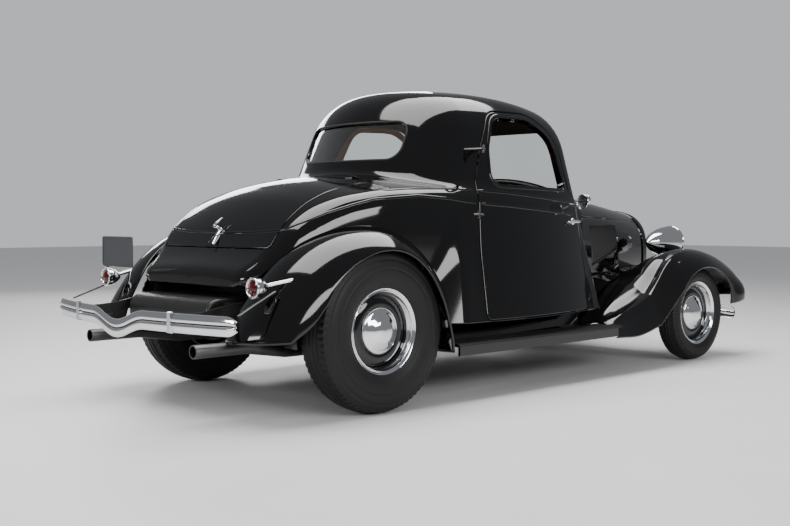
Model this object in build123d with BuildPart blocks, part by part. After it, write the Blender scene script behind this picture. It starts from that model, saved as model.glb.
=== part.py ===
from build123d import *
import math
import os

os.makedirs("parts", exist_ok=True)

# All sizes are in millimetres. X points forward, Y to the left and Z up from the floor.
# A station is a distance ahead of the rear axle, and a wide value is measured from the middle.

# Overall layout
wheelbase = 2845
rear_overhang = 962
front_overhang = 650
rear_axle_x = rear_overhang - (wheelbase + rear_overhang + front_overhang) / 2
front_axle_x = rear_axle_x + wheelbase

# Clearances
panel_gap = 5
seat_gap = 0.3
running_gap = 0.05
face_gap = 0.5

# Body shell
body_wall = 38
body_open_depth = 320
cabin_neck = 90
firewall_station = 1860
belt_height = 1030
roof_height = 1655
roof_peak_station = 1050
roof_spine_radius = 2400
roof_cross_radius = 1900
roof_edge_radius = 150
roof_dome_half = 760
roof_dome_depth = 900
roof_dome_arc = 38

# Wheels
rear_track = 1451
rear_tyre_radius = 392
rear_tyre_half = 100
front_track = 1396
front_tyre_radius = 308
front_tyre_half = 73
rim_radius = 208
rim_wall = 6
rim_lip = 10
hub_bore = 20
hub_radius = 46
drum_radius = 150
cap_radius = 110

rear_wheel_y = rear_track / 2
front_wheel_y = front_track / 2


def at(station):
    return rear_axle_x + station


# Lower body sections, seen along the car
# station, z_bottom, w_bottom, z_side, w_side, z_belt, w_belt, z_crown
tub_table = [
    (-556, 606, 395, 636, 440, 660, 436, 678),
    (-430, 560, 425, 680, 508, 766, 488, 780),
    (-340, 530, 450, 730, 553, 872, 527, 908),
    (-240, 500, 475, 760, 592, 942, 562, 1012),
    (-100, 462, 520, 780, 636, 1004, 612, 1086),
    (80, 425, 585, 795, 674, 1042, 655, 1134),
    (420, 400, 640, 800, 700, 1070, 686, 1158),
    (1000, 392, 650, 790, 702, 1062, 686, 1158),
    (firewall_station, 392, 520, 740, 556, 1000, 545, 1128),
]

# Upper body sections, seen from above at two heights
# z, s_front, w_front, s_side, w_side, s_quarter, w_quarter, s_corner, w_corner, s_rear, w_rear, s_back
house_table = [
    (belt_height, 1735, 602, 1000, 690, 640, 655, 470, 530, 395, 400, 322),
    (1700, 1595, 515, 1040, 538, 800, 505, 715, 440, 640, 330, 548),
]


def tub_sections(inset, drop):
    sections = []
    rows = tub_table[1:] if inset else tub_table
    for row in rows:
        station, z_bottom, w_bottom, z_side, w_side, z_belt, w_belt, z_crown = row
        if row == rows[-1]:
            station -= inset
        belt = z_belt - inset
        with BuildSketch(Plane.YZ.offset(at(station))) as section:
            with BuildLine():
                foot = w_bottom - inset
                side = w_side - inset
                edge = w_belt - inset
                if drop:
                    low = z_bottom - drop
                    Polyline((-foot, z_bottom), (-foot, low), (foot, low), (foot, z_bottom))
                else:
                    Line((-foot, z_bottom), (foot, z_bottom))
                ThreePointArc((foot, z_bottom), (side, z_side), (edge, belt))
                ThreePointArc((edge, belt), (0, z_crown - inset), (-edge, belt))
                ThreePointArc((-edge, belt), (-side, z_side), (-foot, z_bottom))
            make_face()
        sections.append(section.sketch)
    return sections


def house_sections(inset):
    sections = []
    slant = inset * math.sqrt(0.5)
    for row in house_table:
        z, s_front, w_front, s_side, w_side, s_quarter, w_quarter = row[:7]
        s_corner, w_corner, s_rear, w_rear, s_back = row[7:]
        front = at(s_front) - inset
        pillar = w_front - inset
        side = (at(s_side), w_side - inset)
        quarter = (at(s_quarter), w_quarter - inset)
        corner = (at(s_corner) + slant, w_corner - slant)
        rear = (at(s_rear) + inset, w_rear - inset / 4)
        back = at(s_back) + inset
        with BuildSketch(Plane.XY.offset(z)) as section:
            with BuildLine():
                Line((front, -pillar), (front, pillar))
                ThreePointArc((front, pillar), side, quarter)
                ThreePointArc(quarter, corner, rear)
                ThreePointArc(rear, (back, 0), (rear[0], -rear[1]))
                ThreePointArc((rear[0], -rear[1]), (corner[0], -corner[1]), (quarter[0], -quarter[1]))
                ThreePointArc((quarter[0], -quarter[1]), (side[0], -side[1]), (front, -pillar))
            make_face()
        sections.append(section.sketch)
    return sections


def roof_dome(inset):
    top = roof_height - inset
    cross = roof_cross_radius - inset
    spine = roof_spine_radius - inset
    drop = cross - math.sqrt(cross**2 - roof_dome_half**2)
    with BuildSketch(Plane.YZ.offset(at(roof_peak_station))) as section:
        with BuildLine():
            foot = top - roof_dome_depth
            edge = top - drop
            half = roof_dome_half
            Polyline((half, edge), (half, foot), (-half, foot), (-half, edge))
            ThreePointArc((-roof_dome_half, top - drop), (0, top), (roof_dome_half, top - drop))
        make_face()
    with BuildPart() as dome:
        for way in (1, -1):
            pivot = Axis((at(roof_peak_station), 0, top - spine), (0, way, 0))
            revolve(section.sketch, axis=pivot, revolution_arc=roof_dome_arc)
    return dome.part


def house_solid(inset):
    with BuildPart() as house:
        loft(house_sections(inset), ruled=True)
        add(roof_dome(inset), mode=Mode.INTERSECT)
        roof_face = house.faces().sort_by(Axis.Z)[-1]
        fillet(roof_face.edges(), roof_edge_radius - inset)
    return house.part


def tub_solid(inset, drop):
    with BuildPart() as tub:
        loft(tub_sections(inset, drop), ruled=True)
    return tub.part


tub_outer = tub_solid(0, 0)
house_outer = house_solid(0)

with BuildPart() as cabin_space:
    add(tub_solid(body_wall, body_open_depth))
    add(house_solid(body_wall))
    extrude(house_sections(body_wall)[0], amount=-cabin_neck)

with BuildPart() as body_skin:
    add(tub_outer)
    add(house_outer)
    add(cabin_space.part, mode=Mode.SUBTRACT)

# Rear wheelhouses inside the body
house_radius = 434
house_skin = 10
house_in = 584
arch_slot = (150, 520)


def wheelhouse(radius, inner_y, outer_y, side):
    with BuildPart() as drum:
        with BuildSketch(Plane.XZ.offset(-side * inner_y)):
            with Locations((rear_axle_x, rear_tyre_radius)):
                Circle(radius)
        extrude(amount=-side * (outer_y - inner_y))
    return drum.part


# Door outline in side view: station, z, corner radius
door_outline = [
    (704, 402, 30),
    (776, 1074, 400),
    (862, 1290, 300),
    (985, 1512, 120),
    (1340, 1516, 300),
    (1560, 1400, 300),
    (1640, 1085, 20),
    (1706, 1052, 30),
    (1708, 402, 60),
]
# Side window outline: station, z, corner radius
window_outline = [
    (915, 1112, 60),
    (938, 1300, 200),
    (1010, 1478, 90),
    (1310, 1486, 260),
    (1510, 1390, 200),
    (1596, 1098, 30),
]
door_y_far = 1000
door_y_near = 300


def side_prism(outline, grow, side):
    points = [(at(station), z) for station, z, radius in outline]
    radii = [radius for station, z, radius in outline]
    with BuildPart() as prism:
        with BuildSketch(Plane.XZ.offset(-side * door_y_far)):
            with BuildLine():
                FilletPolyline(*points, radius=radii, close=True)
            make_face()
            if grow:
                offset(amount=grow)
        extrude(amount=side * (door_y_far - door_y_near))
    return prism.part


# Rear window, windscreen and deck lid openings
rear_window_width = 790
rear_window_height = 208
rear_window_z = 1340
rear_window_corner = 70
rear_window_reach = (150, 760)
screen_low = (1092, 505)
screen_high = (1448, 462)
screen_corner = 60
screen_reach = (1450, 1800)
glass_thickness = 6
glass_depth = 14
lid_front_station = 235
lid_half = 455
lid_bottom_z = 786
lid_rear_station = -620
lid_top_z = 1300
lid_corner = 60


def lid_block(grow):
    with BuildPart() as block:
        with BuildSketch(Plane.XY.offset(lid_bottom_z - grow)):
            with Locations((at((lid_front_station + lid_rear_station) / 2), 0)):
                Rectangle(lid_front_station - lid_rear_station + 2 * grow, 2 * (lid_half + grow))
            fillet(vertices().group_by(Axis.X)[-1], lid_corner)
        extrude(amount=lid_top_z - lid_bottom_z)
    return block.part


def rear_window_prism(grow):
    with BuildPart() as prism:
        with BuildSketch(Plane.YZ.offset(at(rear_window_reach[0]))):
            with Locations((0, rear_window_z)):
                wide = rear_window_width + 2 * grow
                RectangleRounded(wide, rear_window_height + 2 * grow, rear_window_corner)
        extrude(amount=rear_window_reach[1] - rear_window_reach[0])
    return prism.part


def screen_prism(grow):
    with BuildPart() as prism:
        with BuildSketch(Plane.YZ.offset(at(screen_reach[0]))):
            with BuildLine():
                Polyline(
                    (-screen_low[1] - grow, screen_low[0] - grow),
                    (screen_low[1] + grow, screen_low[0] - grow),
                    (screen_high[1] + grow, screen_high[0] + grow),
                    (-screen_high[1] - grow, screen_high[0] + grow),
                    close=True,
                )
            make_face()
            fillet(vertices(), screen_corner)
        extrude(amount=screen_reach[1] - screen_reach[0])
    return prism.part


# Door hinge line, tilted forward and inward as it rises
hinge_low = (713, 723, 569)
hinge_high = (801, 702, 1300)
hinge_radius = 10
hinge_barrel = 44
hinge_lug = 18
hinge_arm_width = 12
hinge_arm_height = 26
hinge_arm_bite = 24
hinge_arm_sink = 18
# z of the hinge, station of the door edge there, body half width there
hinge_table = [(569, 722, 664), (945, 762, 698), (1290, 862, 626)]


def hinge_point(z, side):
    share = (z - hinge_low[2]) / (hinge_high[2] - hinge_low[2])
    x = hinge_low[0] + share * (hinge_high[0] - hinge_low[0])
    y = hinge_low[1] + share * (hinge_high[1] - hinge_low[1])
    return Vector(at(x), side * y, z)


def hinge_direction(side):
    return (hinge_point(hinge_high[2], side) - hinge_point(hinge_low[2], side)).normalized()


def hinge_arm(z, side, way, height, edge, wide):
    start = hinge_point(z, side)
    reach = at(edge) + hinge_arm_bite if way > 0 else at(edge) - panel_gap - hinge_arm_bite
    end = Vector(reach, side * (wide - hinge_arm_sink), z)
    with BuildPart() as arm:
        with BuildSketch(Plane(origin=start, x_dir=(0, 0, 1), z_dir=end - start)):
            Rectangle(height, hinge_arm_width)
        extrude(amount=(end - start).length)
    return arm.part


def hinge_rod(z, side, radius, low, high):
    plane = Plane(origin=hinge_point(z, side), z_dir=hinge_direction(side))
    with BuildPart() as rod:
        with BuildSketch(plane.offset(low)):
            Circle(radius)
        extrude(amount=high - low)
    return rod.part


def make_door(side):
    with BuildPart() as door:
        add(body_skin.part)
        add(side_prism(door_outline, 0, side), mode=Mode.INTERSECT)
        add(side_prism(window_outline, 0, side), mode=Mode.SUBTRACT)
        for z, edge, wide in hinge_table:
            add(hinge_arm(z, side, 1, hinge_arm_height, edge, wide))
            add(hinge_rod(z, side, hinge_radius, -hinge_barrel / 2, hinge_barrel / 2))
    return door.part


with BuildPart() as door_left:
    add(make_door(1))
door_left.part.label = "door_left"
export_step(door_left.part, "parts/door_left.step")

with BuildPart() as door_right:
    add(make_door(-1))
door_right.part.label = "door_right"
export_step(door_right.part, "parts/door_right.step")

# Deck lid with its two strap hinges at the front edge
lid_hinge_half = 300
lid_hinge_width = 40
lid_hinge_radius = 8
lid_hinge_lift = 1
lid_hinge_strap = 60
lid_hinge_sink = 7
lid_hinge_top = 2
lid_hinge_station = lid_front_station + panel_gap / 2


def crown_z(station, wide):
    rows = tub_table
    for low, high in zip(rows, rows[1:]):
        if low[0] <= station <= high[0]:
            share = (station - low[0]) / (high[0] - low[0])
            half = low[6] + share * (high[6] - low[6])
            edge = low[5] + share * (high[5] - low[5])
            top = low[7] + share * (high[7] - low[7])
            rise = top - edge
            radius = (half**2 + rise**2) / (2 * rise)
            return top - radius + math.sqrt(radius**2 - wide**2)
    raise ValueError("station is off the body")


lid_hinge_foot = crown_z(lid_hinge_station, lid_hinge_half - 1.5 * lid_hinge_width)
lid_hinge_z = lid_hinge_foot + lid_hinge_radius + lid_hinge_lift


def lid_hinge(way, width, offset_y):
    strap_height = lid_hinge_radius + lid_hinge_lift + lid_hinge_sink - lid_hinge_top
    with BuildPart() as strap:
        for side in (1, -1):
            with Locations((at(lid_hinge_station), side * (lid_hinge_half + offset_y), lid_hinge_z)):
                Cylinder(lid_hinge_radius, width, rotation=(90, 0, 0))
            leaf_y = side * (lid_hinge_half + offset_y)
            with Locations((at(lid_hinge_station), leaf_y, lid_hinge_z - lid_hinge_top)):
                Box(
                    lid_hinge_strap,
                    width,
                    strap_height,
                    align=(Align.MIN if way > 0 else Align.MAX, Align.CENTER, Align.MAX),
                )
    return strap.part


with BuildPart() as deck_lid:
    add(body_skin.part)
    add(lid_block(0), mode=Mode.INTERSECT)
    add(lid_hinge(-1, lid_hinge_width, 0))
deck_lid.part.label = "deck_lid"
export_step(deck_lid.part, "parts/deck_lid.step")

with BuildPart() as cab_shell:
    add(body_skin.part)
    for side in (1, -1):
        add(side_prism(door_outline, panel_gap, side), mode=Mode.SUBTRACT)
    add(lid_block(panel_gap), mode=Mode.SUBTRACT)
    add(rear_window_prism(0), mode=Mode.SUBTRACT)
    add(screen_prism(0), mode=Mode.SUBTRACT)
    for side in (1, -1):
        with BuildPart(mode=Mode.PRIVATE) as arch:
            add(wheelhouse(house_radius + house_skin, house_in - house_skin, house_in + 160, side))
            add(tub_outer, mode=Mode.INTERSECT)
        add(arch.part)
        add(wheelhouse(house_radius, house_in, 2 * house_in, side), mode=Mode.SUBTRACT)
    with Locations((rear_axle_x, 0, 0)):
        Box(
            arch_slot[0],
            4 * house_in,
            arch_slot[1],
            align=(Align.CENTER, Align.CENTER, Align.MIN),
            mode=Mode.SUBTRACT,
        )
    for place in (-1, 1):
        shift = place * (lid_hinge_width + face_gap)
        add(lid_hinge(1, lid_hinge_width - face_gap, shift))
    for side in (1, -1):
        for z, edge, wide in hinge_table:
            low = hinge_barrel / 2 + face_gap
            for start in (low, -low - hinge_lug):
                middle = z + start + hinge_lug / 2
                add(hinge_rod(z, side, hinge_radius, start, start + hinge_lug))
                add(hinge_arm(middle, side, -1, hinge_lug - 4, edge, wide))
cab_shell.part.label = "cab_shell"
export_step(cab_shell.part, "parts/cab_shell.step")


def glass_layer(depth, reach):
    with BuildPart() as layer:
        add(house_solid(depth))
        add(house_solid(depth + glass_thickness), mode=Mode.SUBTRACT)
        add(reach, mode=Mode.INTERSECT)
    return layer.part


with BuildPart() as windscreen:
    add(glass_layer(glass_depth, screen_prism(-seat_gap)))
windscreen.part.label = "windscreen"
export_step(windscreen.part, "parts/windscreen.step")

with BuildPart() as rear_window:
    add(glass_layer(glass_depth, rear_window_prism(-seat_gap)))
rear_window.part.label = "rear_window"
export_step(rear_window.part, "parts/rear_window.step")

# Hood, from the cowl to the radiator shell, in four leaves
hood_wall = 16
hood_rear_station = firewall_station
hood_front_station = 2990
hood_front_base = (2962, 600)
hood_front_lean = 10.6
hood_seam_rear_z = 936
hood_seam_front_z = 897
hood_pivot_radius = 5
hood_center_gap = hood_pivot_radius + seat_gap
hood_top_rear_gap = panel_gap
hood_top_front_gap = 20
# station, z_bottom, w_bottom, z_side, w_side, z_belt, w_belt, z_crown
hood_table = [
    (hood_rear_station, 560, 535, 760, 552, 1000, 544, 1127),
    (2400, 585, 398, 760, 410, 958, 395, 1052),
    (hood_front_station, 606, 232, 760, 242, 900, 222, 968),
]


def front_plane(station):
    lean = math.radians(hood_front_lean)
    facing = (math.cos(lean), 0, math.sin(lean))
    return Plane(origin=(at(station), 0, hood_front_base[1]), x_dir=(0, 1, 0), z_dir=facing)


def hood_solid(inset):
    sections = []
    for station, z_bottom, w_bottom, z_side, w_side, z_belt, w_belt, z_crown in hood_table:
        foot = w_bottom - inset
        side = w_side - inset
        edge = w_belt - inset
        belt = z_belt - inset
        with BuildSketch(Plane.YZ.offset(at(station))) as section:
            with BuildLine():
                Line((-foot, z_bottom - inset), (foot, z_bottom - inset))
                ThreePointArc((foot, z_bottom - inset), (side, z_side), (edge, belt))
                ThreePointArc((edge, belt), (0, z_crown - inset), (-edge, belt))
                ThreePointArc((-edge, belt), (-side, z_side), (-foot, z_bottom - inset))
            make_face()
        sections.append(section.sketch)
    with BuildPart() as hood:
        loft(sections, ruled=True)
    return hood.part


with BuildPart() as hood_skin:
    add(hood_solid(0))
    add(hood_solid(hood_wall), mode=Mode.SUBTRACT)

hood_seam_slope = (hood_seam_front_z - hood_seam_rear_z) / (hood_front_station - hood_rear_station)
hood_seam_angle = math.degrees(math.atan(hood_seam_slope))
hood_pivot_slope = (hood_table[-1][7] - hood_table[0][7]) / (hood_front_station - hood_rear_station)


def hood_half(side, above, gap, rear_gap, front_gap):
    seam = Plane(
        origin=(at(hood_rear_station), 0, hood_seam_rear_z + gap),
        z_dir=(-math.sin(math.radians(hood_seam_angle)), 0, math.cos(math.radians(hood_seam_angle))),
    )
    middle = Plane(origin=(0, side * hood_center_gap, 0), z_dir=(0, side, 0))
    with BuildPart() as half:
        add(hood_skin.part)
        split(bisect_by=middle, keep=Keep.TOP)
        split(bisect_by=seam, keep=Keep.TOP if above else Keep.BOTTOM)
        split(bisect_by=Plane.YZ.offset(at(hood_rear_station) + rear_gap), keep=Keep.TOP)
        split(bisect_by=front_plane(hood_front_base[0] - front_gap), keep=Keep.BOTTOM)
    return half.part


for side, word in ((1, "left"), (-1, "right")):
    with BuildPart() as hood_top:
        add(hood_half(side, True, panel_gap / 2, hood_top_rear_gap, hood_top_front_gap))
    hood_top.part.label = "hood_top_" + word
    export_step(hood_top.part, "parts/hood_top_" + word + ".step")
    with BuildPart() as hood_side:
        add(hood_half(side, False, -panel_gap / 2, seat_gap, seat_gap))
    hood_side.part.label = "hood_side_" + word
    export_step(hood_side.part, "parts/hood_side_" + word + ".step")

# Radiator shell, leaning back, with its grille and core
shell_depth = 96
shell_wall = 34
# wide, z along the lean, for the half outline from the foot to the crown
shell_foot_z = 448
shell_outline = [(112, shell_foot_z), (176, 560), (238, 760), (232, 900), (160, 968), (0, 990)]
shell_lean_plane = front_plane(hood_front_base[0])


def shell_face(inset):
    base = hood_front_base[1]
    points = []
    for wide, z in shell_outline:
        shift = -inset if z > base else inset
        points.append((wide - inset if wide else 0, z - base + shift))
    mirrored = [(-wide, z) for wide, z in reversed(points[:-1])]
    with BuildSketch(shell_lean_plane) as face:
        with BuildLine():
            ThreePointArc(points[0], points[1], points[2])
            ThreePointArc(points[2], points[3], points[4])
            ThreePointArc(points[4], points[5], mirrored[0])
            ThreePointArc(mirrored[0], mirrored[1], mirrored[2])
            ThreePointArc(mirrored[2], mirrored[3], mirrored[4])
            Line(mirrored[4], points[0])
        make_face()
    return face.sketch


with BuildPart() as radiator_shell:
    extrude(shell_face(0), amount=shell_depth)
    extrude(shell_face(shell_wall), amount=shell_depth, mode=Mode.SUBTRACT)
radiator_shell.part.label = "radiator_shell"
export_step(radiator_shell.part, "parts/radiator_shell.step")

core_depth = 40
with BuildPart() as radiator_core:
    extrude(shell_face(shell_wall + seat_gap), amount=core_depth)
radiator_core.part.label = "radiator_core"
export_step(radiator_core.part, "parts/radiator_core.step")

grille_bars = 15
grille_bar_width = 5
grille_bar_depth = 14
grille_pitch = 26
grille_tie_heights = (-90, 60, 210, 320)
with BuildPart() as grille:
    with BuildSketch(shell_lean_plane.offset(shell_depth - grille_bar_depth)):
        with GridLocations(grille_pitch, 1, grille_bars, 1):
            Rectangle(grille_bar_width, 1400)
        for height in grille_tie_heights:
            with Locations((0, height)):
                Rectangle(700, grille_bar_width)
    extrude(amount=grille_bar_depth - 2)
    extrude(shell_face(shell_wall + seat_gap), amount=shell_depth, mode=Mode.INTERSECT)
grille.part.label = "grille"
export_step(grille.part, "parts/grille.step")

# Fenders. Each section is a strip and an arc from the body, over the crown, to the lip of the wheel opening.
fender_wall = 12
# Radial sections about the wheel: angle, y_in, r_in, y_crown, r_crown, y_lip, r_lip
rear_fender_table = [
    (-17, 640, 478, 770, 474, 852, 450),
    (0, 640, 466, 785, 450, 857, 402),
    (27, 640, 466, 795, 440, 858, 375),
    (50, 620, 480, 795, 443, 858, 378),
    (75, 600, 496, 795, 450, 858, 388),
    (100, 590, 500, 792, 450, 858, 391),
    (122, 570, 515, 782, 464, 856, 394),
    (143, 540, 548, 765, 492, 850, 406),
    (162, 500, 588, 745, 542, 838, 418),
    (176, 470, 640, 720, 612, 815, 482),
    (182, 455, 662, 700, 650, 790, 545),
]
# Upright sections behind the front wheel
# station, y_root, z_root, y_in, z_in, y_crown, z_crown, y_lip, z_lip
front_sweep_table = [
    (1832, 530, 300, 640, 300, 780, 288, 842, 234),
    (2060, 480, 398, 500, 402, 765, 352, 842, 230),
    (2290, 430, 495, 475, 502, 755, 440, 842, 278),
]
# Radial sections about the front wheel, with y and r in the same order
front_fender_table = [
    (150, 405, 460, 470, 468, 705, 490, 841, 345),
    (130, 360, 358, 470, 410, 690, 455, 841, 332),
    (110, 315, 296, 475, 352, 685, 427, 842, 318),
    (88, 285, 280, 480, 336, 680, 417, 843, 310),
    (66, 262, 300, 485, 350, 680, 432, 843, 312),
    (46, 262, 342, 495, 392, 680, 476, 842, 322),
    (30, 320, 420, 510, 448, 680, 532, 840, 330),
    (16, 420, 490, 530, 505, 680, 582, 836, 322),
    (9, 470, 500, 545, 510, 685, 575, 830, 320),
]


def wheel_plane(wheel_x, wheel_z, angle, side):
    turn = math.radians(angle)
    outward = Vector(math.cos(turn), 0, math.sin(turn))
    across = Vector(0, side, 0)
    return Plane(origin=(wheel_x, 0, wheel_z), x_dir=across, z_dir=across.cross(outward))


def fender_section(plane, row):
    y_in, out_in, y_crown, out_crown, y_lip, out_lip = row[-6:]
    root = row[:-6]
    with BuildSketch(plane) as section:
        with BuildLine():
            ThreePointArc((y_in, out_in), (y_crown, out_crown), (y_lip, out_lip))
            Line((y_lip, out_lip), (y_lip - fender_wall, out_lip))
            ThreePointArc(
                (y_lip - fender_wall, out_lip),
                (y_crown - fender_wall / 2, out_crown - fender_wall),
                (y_in, out_in - fender_wall),
            )
            if root:
                Polyline(
                    (y_in, out_in - fender_wall),
                    (root[0], root[1] - fender_wall),
                    (root[0], root[1]),
                    (y_in, out_in),
                )
            else:
                Line((y_in, out_in - fender_wall), (y_in, out_in))
        make_face()
    return section.sketch


front_fenders = {}
rear_fenders = {}
for side, word in ((1, "left"), (-1, "right")):
    sections = []
    for angle, *row in rear_fender_table:
        sections.append(fender_section(wheel_plane(rear_axle_x, rear_tyre_radius, angle, side), row))
    with BuildPart() as rear_fender:
        loft(sections, ruled=True)
        add(tub_outer, mode=Mode.SUBTRACT)
    rear_fenders[side] = rear_fender.part
    rear_fender.part.label = "rear_fender_" + word
    export_step(rear_fender.part, "parts/rear_fender_" + word + ".step")

    sections = []
    for station, *row in front_sweep_table:
        upright = Plane(origin=(at(station), 0, 0), x_dir=(0, side, 0), z_dir=(side, 0, 0))
        sections.append(fender_section(upright, row))
    for angle, *row in front_fender_table:
        sections.append(fender_section(wheel_plane(front_axle_x, front_tyre_radius, angle, side), row))
    with BuildPart() as front_fender:
        loft(sections, ruled=True)
    front_fenders[side] = front_fender.part
    front_fender.part.label = "front_fender_" + word
    export_step(front_fender.part, "parts/front_fender_" + word + ".step")

# Running boards with their splash aprons
board_rear_station = 478
board_front_station = front_sweep_table[0][0] - seat_gap
board_out = 842
board_top = 294
board_depth = 58
board_skin = 14
board_ledge = 28
apron_top = tub_table[-1][1] - seat_gap
# station, half width of the apron's top
apron_table = [(board_rear_station, 618), (1000, 618), (board_front_station, 512)]
with BuildPart() as running_boards:
    for side in (1, -1):
        sections = []
        for station, apron_in in apron_table:
            with BuildSketch(Plane.YZ.offset(at(station))) as section:
                with BuildLine():
                    Polyline(
                        (side * apron_in, apron_top),
                        (side * (apron_in + board_skin), apron_top),
                        (side * (apron_in + board_ledge + board_skin), board_top),
                        (side * board_out, board_top),
                        (side * board_out, board_top - board_depth),
                        (side * (board_out - board_skin), board_top - board_depth),
                        (side * (board_out - board_skin), board_top - board_skin),
                        (side * (apron_in + board_ledge), board_top - board_skin),
                        close=True,
                    )
                make_face()
            sections.append(section.sketch)
        loft(sections, ruled=True)
running_boards.part.label = "running_boards"
export_step(running_boards.part, "parts/running_boards.step")

# Frame rails in side view: station, z of the lower edge
rail_in = 350
rail_width = 46
rail_height = 110
# station, z of the rails' underside
rail_path = [
    (-600, 424),
    (-395, 424),
    (-250, 516),
    (250, 516),
    (600, 272),
    (2300, 272),
    (2640, 362),
    (3060, 352),
]
cross_width = 60
# station, z of the lower edge, height
# station, z_bottom, height
cross_table = [
    (-265, 518, 60),
    (900, 272, 50),
    (1500, 272, 50),
    (2660, 372, 60),
    (3020, 354, shell_foot_z - 354 - seat_gap),
]
with BuildPart() as frame_rails:
    low = [(at(station), z) for station, z in rail_path]
    high = [(x, z + rail_height) for x, z in reversed(low)]
    for side in (1, -1):
        with BuildSketch(Plane.XZ.offset(-side * rail_in)):
            with BuildLine():
                Polyline(*low, *high, close=True)
            make_face()
        extrude(amount=-side * rail_width)
    for station, cross_z, cross_height in cross_table:
        with Locations((at(station), 0, cross_z)):
            Box(
                cross_width,
                2 * rail_in + rail_width,
                cross_height,
                align=(Align.CENTER, Align.CENTER, Align.MIN),
            )
frame_rails.part.label = "frame_rails"
export_step(frame_rails.part, "parts/frame_rails.step")

# Floor pan, stepped up over the rear axle
floor_half = 566
floor_skin = 8
floor_path = [(-330, 664), (480, 664), (690, 436), (1816, 436)]
with BuildPart() as floor_pan:
    low = [(at(station), z) for station, z in floor_path]
    high = [(x, z + floor_skin) for x, z in reversed(low)]
    with BuildSketch(Plane.XZ.offset(-floor_half)):
        with BuildLine():
            Polyline(*low, *high, close=True)
        make_face()
    extrude(amount=2 * floor_half)
    add(cabin_space.part, mode=Mode.INTERSECT)
floor_pan.part.label = "floor_pan"
export_step(floor_pan.part, "parts/floor_pan.step")

# Engine, a plain block at its place
engine_box = (1960, 2640, 230, 452, 860)
engine_foot_stations = (2050, 2550)
engine_foot_reach = 150
engine_foot_height = 200
with BuildPart() as engine_block:
    rear, front, half, low, high = engine_box
    with Locations((at((rear + front) / 2), 0, (low + high) / 2)):
        Box(front - rear, 2 * half, high - low)
        chamfer(engine_block.edges().filter_by(Axis.X).group_by(Axis.Z)[-1], 90)
    for side in (1, -1):
        for station in engine_foot_stations:
            with Locations((at(station), side * (rail_in - engine_foot_reach / 2), low)):
                Box(60, engine_foot_reach, engine_foot_height)
engine_block.part.label = "engine_block"
export_step(engine_block.part, "parts/engine_block.step")

# Fuel tank under the tail
tank_rear = -690
tank_front = -330
tank_half = rail_in - seat_gap
tank_low = 386
tank_high = 552
with BuildPart() as fuel_tank:
    with BuildSketch(Plane.XZ.offset(-tank_half)):
        with Locations((at((tank_rear + tank_front) / 2), (tank_low + tank_high) / 2)):
            RectangleRounded(tank_front - tank_rear, tank_high - tank_low, 70)
    extrude(amount=2 * tank_half)
    fillet(fuel_tank.faces().filter_by(Axis.Y).edges(), 12)
fuel_tank.part.label = "fuel_tank"
export_step(fuel_tank.part, "parts/fuel_tank.step")

# Exhaust: two silencers and two tail pipes
pipe_y = 472
pipe_radius = 31
pipe_bore = 28
pipe_end_station = -842
pipe_end_z = 336
pipe_low_z = 300
silencer_radius = 62
silencer_rear = 700
silencer_front = 1180
pipe_front = 1900
hanger_stations = (800, 1080)
hanger_bite = 14
with BuildPart() as exhaust:
    for side in (1, -1):
        route = [
            (at(pipe_end_station), side * pipe_y, pipe_end_z),
            (at(-560), side * pipe_y, pipe_end_z),
            (at(-330), side * pipe_y, pipe_low_z),
            (at(silencer_rear + 1), side * pipe_y, pipe_low_z),
        ]
        with BuildLine() as path:
            FilletPolyline(*route, radius=180)
        with BuildSketch(Plane(origin=route[0], z_dir=(1, 0, 0))):
            Circle(pipe_radius)
            Circle(pipe_bore, mode=Mode.SUBTRACT)
        sweep(path=path.wire())
        with BuildSketch(Plane.YZ.offset(at(silencer_rear))):
            with Locations((side * pipe_y, pipe_low_z)):
                Circle(silencer_radius)
        extrude(amount=silencer_front - silencer_rear)
        with BuildSketch(Plane.YZ.offset(at(silencer_front))):
            with Locations((side * pipe_y, pipe_low_z)):
                Circle(pipe_radius)
        extrude(amount=pipe_front - silencer_front)
        hanger_half = pipe_y - silencer_radius + hanger_bite - rail_in - rail_width
        for station in hanger_stations:
            with Locations((at(station), side * (rail_in + rail_width + hanger_half / 2), pipe_low_z)):
                Box(30, hanger_half, 30)
exhaust.part.label = "exhaust"
export_step(exhaust.part, "parts/exhaust.step")

# Rear axle with its housing, tubes and torque tube
axle_tube_radius = 38
axle_end_y = rear_wheel_y - 96
spindle_radius = hub_bore - running_gap
spindle_end_y = rear_wheel_y + 20
housing_radius = 150
torque_tube_radius = 42
torque_tube_end = 1500
backing_radius = 156
backing_thickness = 8
with BuildPart() as rear_axle:
    with Locations((rear_axle_x, 0, rear_tyre_radius)):
        Sphere(housing_radius)
        Cylinder(axle_tube_radius, 2 * axle_end_y, rotation=(90, 0, 0))
        Cylinder(spindle_radius, 2 * spindle_end_y, rotation=(90, 0, 0))
        Cylinder(
            torque_tube_radius,
            torque_tube_end,
            rotation=(0, 90, 0),
            align=(Align.CENTER, Align.CENTER, Align.MIN),
        )
    for side in (1, -1):
        with Locations((rear_axle_x, side * (axle_end_y - backing_thickness / 2), rear_tyre_radius)):
            Cylinder(backing_radius, backing_thickness, rotation=(90, 0, 0))
rear_axle.part.label = "rear_axle"
export_step(rear_axle.part, "parts/rear_axle.step")

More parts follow.
